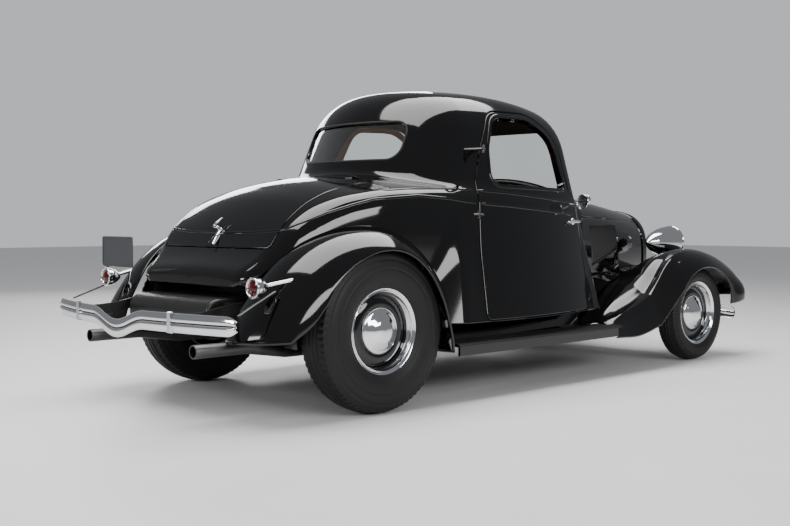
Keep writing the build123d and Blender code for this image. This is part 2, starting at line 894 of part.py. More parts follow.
# Front axle, a dropped beam with a boss at each end for the kingpin
kingpin_y = 606
kingpin_radius = 12
boss_radius = 30
boss_half = 36
beam_drop = 46
beam_width = 44
beam_height = 56
with BuildPart() as front_axle:
    with BuildSketch(Plane.YZ.offset(front_axle_x - beam_width / 2)):
        with BuildLine():
            base = front_tyre_radius
            outer = kingpin_y - boss_radius / 2
            Polyline(
                (-outer, base - beam_height / 2),
                (-outer + 130, base - beam_height / 2 - beam_drop),
                (outer - 130, base - beam_height / 2 - beam_drop),
                (outer, base - beam_height / 2),
                (outer, base + beam_height / 2),
                (outer - 140, base + beam_height / 2 - beam_drop),
                (-outer + 140, base + beam_height / 2 - beam_drop),
                (-outer, base + beam_height / 2),
                close=True,
            )
        make_face()
    extrude(amount=beam_width)
    for side in (1, -1):
        with Locations((front_axle_x, side * kingpin_y, front_tyre_radius)):
            Cylinder(boss_radius, 2 * boss_half)
            Cylinder(kingpin_radius + running_gap, 4 * boss_half, mode=Mode.SUBTRACT)
front_axle.part.label = "front_axle"
export_step(front_axle.part, "parts/front_axle.step")

# Leaf springs between the axles and the frame rails
spring_width = 44
spring_thickness = 26
spring_y = rail_in + rail_width / 2
shackle_length = 40
# station and z of the leaf's ends and middle, height of the clamp and of the shackles
spring_table = [
    (-290, 500, 0, 444, 268, 500, 60, 60),
    (2620, 330, wheelbase, 304, 3040, 330, 60, 60),
]
with BuildPart() as springs:
    for rear, rear_z, middle, middle_z, front, front_z, clamp, shackle in spring_table:
        for side in (1, -1):
            with BuildSketch(Plane.XZ.offset(-side * (spring_y - spring_width / 2))):
                with BuildLine():
                    ThreePointArc((at(rear), rear_z), (at(middle), middle_z), (at(front), front_z))
                    Line((at(front), front_z), (at(front), front_z + spring_thickness / 2))
                    ThreePointArc(
                        (at(front), front_z + spring_thickness / 2),
                        (at(middle), middle_z + spring_thickness),
                        (at(rear), rear_z + spring_thickness / 2),
                    )
                    Line((at(rear), rear_z + spring_thickness / 2), (at(rear), rear_z))
                make_face()
                with Locations((at(middle), middle_z)):
                    Rectangle(clamp, clamp)
                with Locations((at(rear), rear_z), (at(front), front_z)):
                    Rectangle(shackle_length, shackle)
            extrude(amount=-side * spring_width)
    add(frame_rails.part, mode=Mode.SUBTRACT)
    add(front_axle.part, mode=Mode.SUBTRACT)
    add(rear_axle.part, mode=Mode.SUBTRACT)
springs.part.label = "springs"
export_step(springs.part, "parts/springs.step")

# Knuckles with kingpin, spindle, backing plate and steering arm
fork_height = 18
arm_length = 150
arm_width = 30
arm_z = front_tyre_radius - boss_half - face_gap - fork_height
tie_eye_radius = 9
tie_pin_height = 34
front_backing_y = front_wheel_y - 74
for side, word in ((1, "left"), (-1, "right")):
    with BuildPart() as knuckle:
        with Locations((front_axle_x, side * kingpin_y, front_tyre_radius)):
            Cylinder(kingpin_radius, 2 * (boss_half + fork_height + face_gap))
        for way in (1, -1):
            fork_z = front_tyre_radius + way * (boss_half + face_gap + fork_height / 2)
            with Locations((front_axle_x, side * kingpin_y, fork_z)):
                Cylinder(boss_radius, fork_height)
            with Locations(
                (
                    front_axle_x,
                    side * (kingpin_y + boss_radius + face_gap) / 1,
                    front_tyre_radius + way * (boss_half + face_gap + fork_height / 2),
                )
            ):
                Box(2 * boss_radius, boss_radius, fork_height)
        with Locations((front_axle_x, side * (kingpin_y + boss_radius + 6), front_tyre_radius)):
            Box(2 * boss_radius, 10, 2 * (boss_half + fork_height + face_gap))
        with Locations((front_axle_x, side * (kingpin_y + boss_radius + 6), front_tyre_radius)):
            Cylinder(
                spindle_radius,
                front_wheel_y + 20 - kingpin_y - boss_radius - 6,
                rotation=(-90 * side, 0, 0),
                align=(Align.CENTER, Align.CENTER, Align.MIN),
            )
        with BuildSketch(Plane.XY.offset(arm_z)):
            with Locations((front_axle_x - arm_length / 2, side * kingpin_y)):
                Rectangle(arm_length, arm_width)
            with Locations((front_axle_x - arm_length, side * kingpin_y)):
                Circle(arm_width / 2 + 4)
        extrude(amount=fork_height)
        with Locations((front_axle_x - arm_length, side * kingpin_y, arm_z)):
            Cylinder(tie_eye_radius, tie_pin_height, align=(Align.CENTER, Align.CENTER, Align.MAX))
    knuckle.part.label = "knuckle_" + word
    export_step(knuckle.part, "parts/knuckle_" + word + ".step")

# Tie rod between the two steering arms
tie_rod_radius = 11
tie_rod_end_radius = 22
tie_rod_z = arm_z - face_gap - tie_pin_height / 2
tie_rod_height = tie_pin_height - 8
with BuildPart() as tie_rod:
    with Locations((front_axle_x - arm_length, 0, tie_rod_z)):
        Cylinder(tie_rod_radius, 2 * kingpin_y - tie_rod_end_radius, rotation=(90, 0, 0))
    for side in (1, -1):
        with Locations((front_axle_x - arm_length, side * kingpin_y, tie_rod_z)):
            Cylinder(tie_rod_end_radius, tie_rod_height)
            Cylinder(tie_eye_radius + running_gap, 2 * tie_pin_height, mode=Mode.SUBTRACT)
tie_rod.part.label = "tie_rod"
export_step(tie_rod.part, "parts/tie_rod.step")


# Wheels and tyres. Each profile is drawn across the wheel and turned about its axle.
def wheel_frame(wheel_x, wheel_y, wheel_z, side):
    return Plane(origin=(wheel_x, side * wheel_y, wheel_z), x_dir=(0, side, 0), z_dir=(side, 0, 0))


def wheel_axis(wheel_x, wheel_z):
    return Axis((wheel_x, 0, wheel_z), (0, 1, 0))


def make_tyre(wheel_x, wheel_y, radius, half, side):
    shoulder = radius - 14
    bead = rim_radius - rim_lip
    with BuildPart() as tyre:
        with BuildSketch(wheel_frame(wheel_x, wheel_y, radius, side)):
            with BuildLine():
                tread = half * 0.8
                middle = (bead + radius) / 2
                ThreePointArc((-tread, shoulder), (0, radius), (tread, shoulder))
                ThreePointArc((tread, shoulder), (half, middle + 10), (half * 0.72, bead))
                Line((half * 0.72, bead), (-half * 0.72, bead))
                ThreePointArc((-half * 0.72, bead), (-half, middle + 10), (-tread, shoulder))
            make_face()
        revolve(axis=wheel_axis(wheel_x, radius))
    return tyre.part


def make_wheel(wheel_x, wheel_y, tyre_radius, half, disc, cap, hub_in, side):
    bead = rim_radius - rim_lip - seat_gap
    rim_half = half * 0.72
    inner = bead - rim_wall
    with BuildPart() as wheel:
        with BuildSketch(wheel_frame(wheel_x, wheel_y, tyre_radius, side)):
            with BuildLine():
                Polyline(
                    (-rim_half, inner),
                    (disc - rim_wall, inner),
                    (disc - rim_wall, drum_radius),
                    (disc - 30, drum_radius),
                    (-70, drum_radius),
                    (-70, drum_radius - 10),
                    (disc - 34, drum_radius - 10),
                    (disc - 34, hub_radius),
                    (-hub_in, hub_radius),
                    (-hub_in, hub_bore),
                    (cap - 30, hub_bore),
                    (cap - 30, 0),
                    (cap, 0),
                    (cap - 16, cap_radius * 0.8),
                    (disc + 8, cap_radius),
                    (disc, inner),
                    (rim_half, inner),
                    (rim_half, bead),
                    (-rim_half, bead),
                    close=True,
                )
            make_face()
        revolve(axis=wheel_axis(wheel_x, tyre_radius))
    return wheel.part


rear_disc = 30
rear_cap = 84
front_disc = 8
front_cap = 62
rear_hub_in = 60
front_hub_in = 42
for side, word in ((1, "left"), (-1, "right")):
    with BuildPart() as rear_tyre:
        add(make_tyre(rear_axle_x, rear_wheel_y, rear_tyre_radius, rear_tyre_half, side))
    rear_tyre.part.label = "tyre_rear_" + word
    export_step(rear_tyre.part, "parts/tyre_rear_" + word + ".step")
    with BuildPart() as rear_wheel:
        place = (rear_axle_x, rear_wheel_y, rear_tyre_radius)
        add(make_wheel(*place, rear_tyre_half, rear_disc, rear_cap, rear_hub_in, side))
    rear_wheel.part.label = "wheel_rear_" + word
    export_step(rear_wheel.part, "parts/wheel_rear_" + word + ".step")
    with BuildPart() as front_tyre:
        add(make_tyre(front_axle_x, front_wheel_y, front_tyre_radius, front_tyre_half, side))
    front_tyre.part.label = "tyre_front_" + word
    export_step(front_tyre.part, "parts/tyre_front_" + word + ".step")
    with BuildPart() as front_wheel:
        place = (front_axle_x, front_wheel_y, front_tyre_radius)
        add(make_wheel(*place, front_tyre_half, front_disc, front_cap, front_hub_in, side))
    front_wheel.part.label = "wheel_front_" + word
    export_step(front_wheel.part, "parts/wheel_front_" + word + ".step")

# Bumpers: a bowed band cut to its front view, with a dip at the middle
bumper_thickness = 14
bumper_height = 86
bumper_dip = 52
bumper_dip_half = 235
rear_bumper_half = 796
rear_bumper_end_station = -842
rear_bumper_z = 426
front_bumper_half = 792
front_bumper_end_station = 3268
front_bumper_z = 242
iron_y = rail_in + rail_width + seat_gap
iron_width = 12
iron_height = 56


# x of each iron's root, z of its underside there
rear_iron = (at(-420), 500)
front_iron = (at(2980), 420)
iron_lift = 15
bumper_round = 160
bumper_margin = 1
bumper_reach = 50


def make_bumper(tip_x, end_x, half, low_z, iron_x, iron_low):
    way = 1 if tip_x > end_x else -1
    with BuildPart() as bumper:
        with BuildSketch(Plane.XY.offset(low_z - bumper_dip - bumper_margin)):
            with BuildLine():
                ThreePointArc((end_x, -half), (tip_x, 0), (end_x, half))
                Line((end_x, half), (end_x - way * bumper_thickness, half))
                ThreePointArc(
                    (end_x - way * bumper_thickness, half),
                    (tip_x - way * bumper_thickness, 0),
                    (end_x - way * bumper_thickness, -half),
                )
                Line((end_x - way * bumper_thickness, -half), (end_x, -half))
            make_face()
        extrude(amount=bumper_height + bumper_dip + 2 * bumper_margin)
        with BuildSketch(Plane.YZ.offset(min(tip_x, end_x) - bumper_reach)):
            with BuildLine():
                Polyline(
                    (-half - bumper_margin, low_z),
                    (-bumper_dip_half, low_z),
                    (0, low_z - bumper_dip),
                    (bumper_dip_half, low_z),
                    (half + bumper_margin, low_z),
                    (half + bumper_margin, low_z + bumper_height),
                    (bumper_dip_half, low_z + bumper_height),
                    (0, low_z + bumper_height - bumper_dip),
                    (-bumper_dip_half, low_z + bumper_height),
                    (-half - bumper_margin, low_z + bumper_height),
                    close=True,
                )
            make_face()
            fillet(vertices().sort_by(Axis.X)[2:-2], bumper_round)
        extrude(amount=abs(tip_x - end_x) + 2 * bumper_reach, mode=Mode.INTERSECT)
        radius = (half**2 + (tip_x - end_x) ** 2) / (2 * abs(tip_x - end_x))
        face_x = tip_x - way * (radius - math.sqrt(radius**2 - iron_y**2)) - way * bumper_thickness
        for side in (1, -1):
            with BuildSketch(Plane.XZ.offset(-side * iron_y)):
                with BuildLine():
                    Polyline(
                        (face_x, low_z + iron_lift),
                        (iron_x, iron_low),
                        (iron_x, iron_low + iron_height),
                        (face_x, low_z + iron_lift + iron_height),
                        close=True,
                    )
                make_face()
            extrude(amount=-side * iron_width)
    return bumper.part


length = wheelbase + rear_overhang + front_overhang
with BuildPart() as rear_bumper:
    rear_end = at(rear_bumper_end_station)
    add(make_bumper(-length / 2, rear_end, rear_bumper_half, rear_bumper_z, *rear_iron))
rear_bumper.part.label = "rear_bumper"
export_step(rear_bumper.part, "parts/rear_bumper.step")
with BuildPart() as front_bumper:
    front_end = at(front_bumper_end_station)
    add(make_bumper(length / 2, front_end, front_bumper_half, front_bumper_z, *front_iron))
front_bumper.part.label = "front_bumper"
export_step(front_bumper.part, "parts/front_bumper.step")

# Tail lamps on arms from the rear fenders
tail_lamp_y = 657
tail_lamp_z = 618
tail_lamp_station = -647
tail_lamp_radius = 50
tail_lamp_length = 84
tail_lens_radius = 43
tail_lens_depth = 14
tail_lens_round = 9
tail_arm_radius = 9
tail_arm_root = (-430, 712, 652)
with BuildPart() as tail_lamps:
    for side in (1, -1):
        rim = (at(tail_lamp_station), side * tail_lamp_y, tail_lamp_z)
        with BuildSketch(Plane(origin=rim, x_dir=(0, 1, 0), z_dir=(0, 0, 1))):
            with BuildLine():
                Line((0, 0), (0, -tail_lamp_length))
                shoulder = (tail_lamp_radius * 0.8, -tail_lamp_length * 0.62)
                ThreePointArc((0, -tail_lamp_length), shoulder, (tail_lamp_radius, 0))
                Line((tail_lamp_radius, 0), (0, 0))
            make_face()
        revolve(axis=Axis((0, side * tail_lamp_y, tail_lamp_z), (1, 0, 0)))
        arm_from = Vector(at(tail_lamp_station + tail_lamp_length * 0.6), side * tail_lamp_y, tail_lamp_z)
        arm_to = Vector(at(tail_arm_root[0]), side * tail_arm_root[1], tail_arm_root[2])
        with BuildSketch(Plane(origin=arm_from, z_dir=arm_to - arm_from)):
            Circle(tail_arm_radius)
        extrude(amount=(arm_to - arm_from).length)
    for side in (1, -1):
        add(rear_fenders[side], mode=Mode.SUBTRACT)
tail_lamps.part.label = "tail_lamps"
export_step(tail_lamps.part, "parts/tail_lamps.step")

with BuildPart() as tail_lenses:
    for side in (1, -1):
        with Locations((at(tail_lamp_station) - seat_gap, side * tail_lamp_y, tail_lamp_z)):
            Cylinder(
                tail_lens_radius,
                tail_lens_depth,
                rotation=(0, 90, 0),
                align=(Align.CENTER, Align.CENTER, Align.MAX),
            )
    fillet(tail_lenses.faces().sort_by(Axis.X)[:2].edges(), tail_lens_round)
tail_lenses.part.label = "tail_lenses"
export_step(tail_lenses.part, "parts/tail_lenses.step")

# Headlamps on stalks over the front fenders
headlamp_rim_station = 3030
headlamp_y = 432
headlamp_z = 768
headlamp_radius = 110
headlamp_length = 290
headlamp_shell = 5
headlamp_lens_radius = 102
headlamp_lens_depth = 22
headlamp_seat = 12
stalk_station = 2900
stalk_foot_z = 600
stalk_radius = 17


def headlamp_profile(x_sign_plane, radius, length):
    with BuildSketch(x_sign_plane) as face:
        with BuildLine():
            Line((0, 0), (radius, 0))
            ThreePointArc((radius, 0), (radius * 0.78, -length * 0.56), (0, -length))
            Line((0, -length), (0, 0))
        make_face()
    return face.sketch


with BuildPart() as headlamps:
    for side in (1, -1):
        lamp_axis = Axis((0, side * headlamp_y, headlamp_z), (1, 0, 0))
        lamp_plane = Plane(
            origin=(at(headlamp_rim_station), side * headlamp_y, headlamp_z),
            x_dir=(0, 1, 0),
            z_dir=(0, 0, -1),
        )
        revolve(headlamp_profile(lamp_plane, headlamp_radius, headlamp_length), axis=lamp_axis)
        with Locations((at(headlamp_rim_station), side * headlamp_y, headlamp_z)):
            Cylinder(
                headlamp_lens_radius + seat_gap,
                headlamp_seat,
                rotation=(0, 90, 0),
                align=(Align.CENTER, Align.CENTER, Align.MAX),
                mode=Mode.SUBTRACT,
            )
        with Locations((at(stalk_station), side * headlamp_y, stalk_foot_z)):
            Cylinder(stalk_radius, headlamp_z - stalk_foot_z, align=(Align.CENTER, Align.CENTER, Align.MIN))
    for side in (1, -1):
        add(front_fenders[side], mode=Mode.SUBTRACT)
headlamps.part.label = "headlamps"
export_step(headlamps.part, "parts/headlamps.step")

with BuildPart() as headlamp_lenses:
    for side in (1, -1):
        lamp_axis = Axis((0, side * headlamp_y, headlamp_z), (1, 0, 0))
        lens_plane = Plane(
            origin=(at(headlamp_rim_station) - headlamp_seat + seat_gap, side * headlamp_y, headlamp_z),
            x_dir=(0, 1, 0),
            z_dir=(0, 0, 1),
        )
        with BuildSketch(lens_plane):
            with BuildLine():
                rim = headlamp_lens_radius
                Polyline((rim, -headlamp_seat), (rim, 0), (0, 0), (0, -headlamp_seat - headlamp_lens_depth))
                ThreePointArc(
                    (0, -headlamp_seat - headlamp_lens_depth),
                    (rim * 0.6, -headlamp_seat - headlamp_lens_depth * 0.64),
                    (rim, -headlamp_seat),
                )
            make_face()
        revolve(axis=lamp_axis)
headlamp_lenses.part.label = "headlamp_lenses"
export_step(headlamp_lenses.part, "parts/headlamp_lenses.step")

# Blank plate on its bracket over the left tail lamp
plate_width = 305
plate_height = 152
plate_thickness = 4
plate_center = (-652, 526, 754)
plate_arm_width = 14
with BuildPart() as number_plate:
    with Locations((at(plate_center[0]), plate_center[1], plate_center[2])):
        Box(plate_thickness, plate_width, plate_height)
    plate_arm_low = tail_lamp_z + tail_lamp_radius + seat_gap
    with Locations((at(plate_center[0]) + plate_thickness, tail_lamp_y - 16, plate_arm_low)):
        Box(
            plate_thickness * 2,
            plate_arm_width,
            plate_center[2] - plate_arm_low,
            align=(Align.CENTER, Align.CENTER, Align.MIN),
        )
number_plate.part.label = "number_plate"
export_step(number_plate.part, "parts/number_plate.step")

# Seat
seat_half = 490
cushion_rear = 700
cushion_front = 1230
cushion_low = 560
cushion_high = 745
seat_corner = 45
seat_tilt = 12
seat_back_thickness = 150
seat_back_height = 430
seat_frame_rear = 690
seat_frame_drop = 250
seat_frame_skin = 20
with BuildPart() as seat_cushion:
    with Locations((at((cushion_rear + cushion_front) / 2), 0, (cushion_low + cushion_high) / 2)):
        Box(cushion_front - cushion_rear, 2 * seat_half, cushion_high - cushion_low)
    fillet(seat_cushion.edges(), seat_corner)
seat_cushion.part.label = "seat_cushion"
export_step(seat_cushion.part, "parts/seat_cushion.step")

seat_plane = Plane(
    origin=(at(cushion_rear) + 20, 0, cushion_high + 24),
    x_dir=(math.cos(math.radians(seat_tilt)), 0, math.sin(math.radians(seat_tilt))),
    z_dir=(-math.sin(math.radians(seat_tilt)), 0, math.cos(math.radians(seat_tilt))),
)
with BuildPart() as seat_back:
    with BuildSketch(seat_plane):
        Rectangle(seat_back_thickness, 2 * seat_half)
    extrude(amount=seat_back_height)
    fillet(seat_back.edges(), seat_corner)
seat_back.part.label = "seat_back"
export_step(seat_back.part, "parts/seat_back.step")

with BuildPart() as seat_frame:
    with Locations((at((seat_frame_rear + cushion_front) / 2), 0, cushion_low - seat_gap)):
        Box(
            cushion_front - seat_frame_rear,
            2 * seat_half - 60,
            cushion_low - seat_gap - floor_path[-1][1] - floor_skin - seat_gap,
            align=(Align.CENTER, Align.CENTER, Align.MAX),
        )
    with BuildSketch(seat_plane.offset(-seat_frame_drop)):
        with Locations(((-seat_back_thickness - seat_frame_skin) / 2 - seat_gap, 0)):
            Rectangle(seat_frame_skin, 2 * seat_half - 40)
    extrude(amount=seat_back_height + seat_frame_drop - 60)
seat_frame.part.label = "seat_frame"
export_step(seat_frame.part, "parts/seat_frame.step")

# Dashboard, steering column and shift lever
dash_station = 1600
dash_depth = 60
dash_low = 905
dash_high = 1088
dash_half = 505
dash_stay_y = 420
column_angle = 38
column_low = (1790, 310, 520)
column_radius = 18
column_length = 780
column_foot = 60
steer_wheel_radius = 200
steer_rim_radius = 12
steer_hub_radius = 40
steer_hub_height = 50
steer_spoke_half = 8
with BuildPart() as dashboard:
    with Locations((at(dash_station), 0, (dash_low + dash_high) / 2)):
        Box(dash_depth, 2 * dash_half, dash_high - dash_low)
    fillet(dashboard.edges().filter_by(Axis.Y), 25)
    for side in (1, -1):
        with Locations((at(dash_station), side * dash_stay_y, dash_low + 20)):
            Box(firewall_station - dash_station, 20, 16, align=(Align.MIN, Align.CENTER, Align.CENTER))
    add(cab_shell.part, mode=Mode.SUBTRACT)
dashboard.part.label = "dashboard"
export_step(dashboard.part, "parts/dashboard.step")

column_plane = Plane(
    origin=(at(column_low[0]), column_low[1], column_low[2]),
    x_dir=(0, 1, 0),
    z_dir=(-math.cos(math.radians(column_angle)), 0, math.sin(math.radians(column_angle))),
)
with BuildPart() as steering_column:
    with BuildSketch(column_plane):
        Circle(column_radius)
    extrude(amount=column_length - steer_hub_height)
    with BuildSketch(column_plane):
        Circle(column_radius)
    extrude(amount=-column_foot)
    add(cab_shell.part, mode=Mode.SUBTRACT)
    with BuildSketch(column_plane.offset(column_length - steer_hub_height)):
        Circle(column_radius / 2)
    extrude(amount=steer_hub_height - 10)
steering_column.part.label = "steering_column"
export_step(steering_column.part, "parts/steering_column.step")

with BuildPart() as steering_wheel:
    wheel_top = column_plane.offset(column_length - steer_hub_height + face_gap)
    with BuildSketch(wheel_top):
        Circle(steer_hub_radius)
        Circle(column_radius / 2 + running_gap, mode=Mode.SUBTRACT)
    extrude(amount=steer_hub_height - face_gap - 8)
    with BuildSketch(wheel_top.offset(steer_hub_height - face_gap - 8)):
        Circle(steer_hub_radius)
    extrude(amount=8)
    with BuildSketch(wheel_top.offset(steer_hub_height / 2)):
        with PolarLocations((steer_wheel_radius + steer_hub_radius) / 2 - 4, 3, start_angle=90):
            Rectangle(steer_wheel_radius - steer_hub_radius, 2 * steer_spoke_half)
    extrude(amount=steer_spoke_half)
    with Locations(Location(wheel_top.offset(steer_hub_height / 2 + steer_spoke_half / 2))):
        Torus(steer_wheel_radius, steer_rim_radius)
steering_wheel.part.label = "steering_wheel"
export_step(steering_wheel.part, "parts/steering_wheel.step")

lever_station = 1420
lever_radius = 7
lever_length = 330
lever_knob = 22
with BuildPart() as shift_lever:
    lever_foot = floor_path[-1][1] + floor_skin + seat_gap
    with Locations((at(lever_station), 0, lever_foot)):
        Cone(70, 24, 60, align=(Align.CENTER, Align.CENTER, Align.MIN))
        Cylinder(lever_radius, lever_length, align=(Align.CENTER, Align.CENTER, Align.MIN))
    with Locations((at(lever_station), 0, lever_foot + lever_length)):
        Sphere(lever_knob)
shift_lever.part.label = "shift_lever"
export_step(shift_lever.part, "parts/shift_lever.step")

# Bright fittings on each door: the handle and a round mirror
handle_station = 1600
handle_z = 908
handle_length = 118
on_end = (Align.CENTER, Align.CENTER, Align.MIN)
mirror_stem = 6
handle_radius = 10
handle_stand = 42
mirror_station = 1640
mirror_z = 1024
mirror_radius = 42
mirror_depth = 22
mirror_out = 725


def side_wide(station, z):
    rows = tub_table
    for low, high in zip(rows, rows[1:]):
        if low[0] <= station <= high[0]:
            share = (station - low[0]) / (high[0] - low[0])
            side_z, side_w, belt_z, belt_w = (low[i] + share * (high[i] - low[i]) for i in (3, 4, 5, 6))
            drop = (z - side_z) / (belt_z - side_z)
            return side_w - (side_w - belt_w) * drop**2
    raise ValueError("station is off the body")


for side, word in ((1, "left"), (-1, "right")):
    root = side_wide(handle_station, handle_z) - 4
    with BuildPart() as fittings:
        with Locations((at(handle_station), side * root, handle_z)):
            Cylinder(handle_radius, handle_stand, rotation=(-90 * side, 0, 0), align=on_end)
        with Locations((at(handle_station) + 12, side * (root + handle_stand), handle_z)):
            Cylinder(handle_radius, handle_length, rotation=(0, -90, 0), align=on_end)
        root = side_wide(mirror_station, mirror_z) - 6
        with Locations((at(mirror_station), side * root, mirror_z)):
            Cylinder(mirror_stem, mirror_out - root, rotation=(-90 * side, 0, 0), align=on_end)
        with Locations((at(mirror_station), side * mirror_out, mirror_z)):
            Cylinder(mirror_radius, mirror_depth, rotation=(0, 90, 0))
        add(door_left.part if side > 0 else door_right.part, mode=Mode.SUBTRACT)
    fittings.part.label = "door_fittings_" + word
    export_step(fittings.part, "parts/door_fittings_" + word + ".step")

# Cowl lamps
cowl_lamp_rim_station = 1860
cowl_lamp_stalk_station = 1820
cowl_lamp_y = 585
cowl_lamp_z = 1035
cowl_lamp_radius = 36
cowl_lamp_length = 84
cowl_lamp_stalk = 9
cowl_lamp_stalk_length = 70
cowl_lamp_splay = 30
with BuildPart() as cowl_lamps:
    for side in (1, -1):
        lamp_axis = Axis((0, side * cowl_lamp_y, cowl_lamp_z), (1, 0, 0))
        rim = (at(cowl_lamp_rim_station), side * cowl_lamp_y, cowl_lamp_z)
        lamp_plane = Plane(origin=rim, x_dir=(0, 1, 0), z_dir=(0, 0, -1))
        revolve(headlamp_profile(lamp_plane, cowl_lamp_radius, cowl_lamp_length), axis=lamp_axis)
        with Locations((at(cowl_lamp_stalk_station), side * cowl_lamp_y, cowl_lamp_z)):
            Cylinder(
                cowl_lamp_stalk,
                cowl_lamp_stalk_length,
                rotation=(-cowl_lamp_splay * side, 0, 0),
                align=(Align.CENTER, Align.CENTER, Align.MAX),
            )
    add(body_skin.part, mode=Mode.SUBTRACT)
cowl_lamps.part.label = "cowl_lamps"
export_step(cowl_lamps.part, "parts/cowl_lamps.step")

# Rod that the hood leaves hang on
hood_rod_rear = hood_rear_station + seat_gap
hood_rod_end_gap = 4
hood_rod_rise = hood_table[-1][7] - hood_front_base[1]
hood_rod_back = hood_rod_rise * math.tan(math.radians(hood_front_lean))
hood_rod_front = hood_front_base[0] - hood_rod_back - hood_rod_end_gap
with BuildPart() as hood_rod:
    rod_start = Vector(at(hood_rod_rear), 0, hood_table[0][7])
    rod_fall = hood_pivot_slope * (hood_rod_front - hood_rod_rear)
    rod_end = Vector(at(hood_rod_front), 0, hood_table[0][7] + rod_fall)
    with BuildSketch(Plane(origin=rod_start, z_dir=rod_end - rod_start)):
        Circle(hood_pivot_radius)
    extrude(amount=(rod_end - rod_start).length)
    split(bisect_by=Plane.YZ.offset(at(hood_rod_rear)), keep=Keep.TOP)
hood_rod.part.label = "hood_rod"
export_step(hood_rod.part, "parts/hood_rod.step")
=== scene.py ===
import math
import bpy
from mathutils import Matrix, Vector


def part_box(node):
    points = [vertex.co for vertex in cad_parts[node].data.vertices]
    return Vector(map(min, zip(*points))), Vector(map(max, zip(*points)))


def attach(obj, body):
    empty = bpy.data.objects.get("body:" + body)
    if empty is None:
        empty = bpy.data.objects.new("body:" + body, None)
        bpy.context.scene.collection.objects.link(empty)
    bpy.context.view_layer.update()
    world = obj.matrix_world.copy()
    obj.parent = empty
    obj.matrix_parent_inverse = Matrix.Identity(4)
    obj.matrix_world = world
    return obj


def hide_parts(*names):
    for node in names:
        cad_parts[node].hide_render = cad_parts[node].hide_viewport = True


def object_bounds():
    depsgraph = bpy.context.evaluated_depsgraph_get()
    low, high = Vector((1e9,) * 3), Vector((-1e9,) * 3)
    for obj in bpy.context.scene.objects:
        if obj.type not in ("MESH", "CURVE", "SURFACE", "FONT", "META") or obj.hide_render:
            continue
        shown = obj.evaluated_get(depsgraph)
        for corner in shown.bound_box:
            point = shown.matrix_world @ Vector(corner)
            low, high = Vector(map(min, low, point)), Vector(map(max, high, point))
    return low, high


bl_info = {
    "name": "Streamlined coupe",
    "version": (1, 0, 0),
    "blender": (4, 5, 0),
    "location": "3D View > Sidebar > Coupe",
    "description": "Bodywork, chrome, tyres, lamps and leather for the coupe's frame",
    "category": "Object",
}

import bmesh
import bpy
import numpy as np
from mathutils import Matrix, Vector
from mathutils.geometry import delaunay_2d_cdt
from mathutils.kdtree import KDTree

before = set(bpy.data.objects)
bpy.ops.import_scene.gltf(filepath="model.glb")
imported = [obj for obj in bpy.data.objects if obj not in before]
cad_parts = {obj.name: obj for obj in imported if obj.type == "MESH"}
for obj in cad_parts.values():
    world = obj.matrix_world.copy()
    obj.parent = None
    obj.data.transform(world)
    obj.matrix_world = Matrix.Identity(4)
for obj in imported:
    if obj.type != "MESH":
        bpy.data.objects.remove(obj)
cad_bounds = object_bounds()

# Everything is in metres. A station is a distance ahead of the rear axle.
rear_axle_x = -1.2665
wheelbase = 2.845
front_axle_x = rear_axle_x + wheelbase
firewall = 1.860
rear_hub = (rear_axle_x, 0.7255, 0.392)
front_hub = (front_axle_x, 0.698, 0.308)

# Lower body: station, z_bottom, w_bottom, z_side, w_side, z_belt, w_belt, z_crown
tub_rows = np.array([
    (-0.556, 0.606, 0.395, 0.636, 0.440, 0.660, 0.436, 0.678),
    (-0.430, 0.560, 0.425, 0.680, 0.508, 0.766, 0.488, 0.780),
    (-0.340, 0.530, 0.450, 0.730, 0.553, 0.872, 0.527, 0.908),
    (-0.240, 0.500, 0.475, 0.760, 0.592, 0.942, 0.562, 1.012),
    (-0.100, 0.462, 0.520, 0.780, 0.636, 1.004, 0.612, 1.086),
    (0.080, 0.425, 0.585, 0.795, 0.674, 1.042, 0.655, 1.134),
    (0.420, 0.400, 0.640, 0.800, 0.700, 1.070, 0.686, 1.158),
    (1.000, 0.392, 0.650, 0.790, 0.702, 1.062, 0.686, 1.158),
    (1.860, 0.392, 0.520, 0.740, 0.556, 1.000, 0.545, 1.128),
])
# Hood, with the same columns
hood_rows = np.array([
    (1.860, 0.560, 0.535, 0.760, 0.552, 1.000, 0.544, 1.127),
    (2.400, 0.585, 0.398, 0.760, 0.410, 0.958, 0.395, 1.052),
    (2.990, 0.606, 0.232, 0.760, 0.242, 0.900, 0.222, 0.968),
])
# Upper body from above at two heights: z, then station and half width of the
# windscreen corner, side, quarter, corner and rear edge, then the back's station
house_rows = (
    (1.030, 1.735, 0.602, 1.000, 0.690, 0.640, 0.655, 0.470, 0.530, 0.395, 0.400, 0.322),
    (1.700, 1.595, 0.515, 1.040, 0.538, 0.800, 0.505, 0.715, 0.440, 0.640, 0.330, 0.548),
)
house_middle = 1.0
roof_top = 1.655
roof_peak = 1.050
roof_spine = 2.400
roof_cross = 1.900
tail_station = -0.556
body_heart = np.array((0.9, 0.0, 0.60))
# Hood: foot of its leaning front edge, the last station of its surface, the
# height that its rays start from, and the side seam's height at each end
hood_front = (2.962, 0.600)
hood_lean = math.tan(math.radians(10.6))
hood_last = 2.95
hood_end = 2.99
hood_heart = 0.78
hood_seam = (0.936, 0.897)
# How wide the body's, the tail's and the roof's edges are rounded
tub_round, tail_round, roof_round, hood_round, house_round = 0.07, 0.03, 0.17, 0.10, 0.05

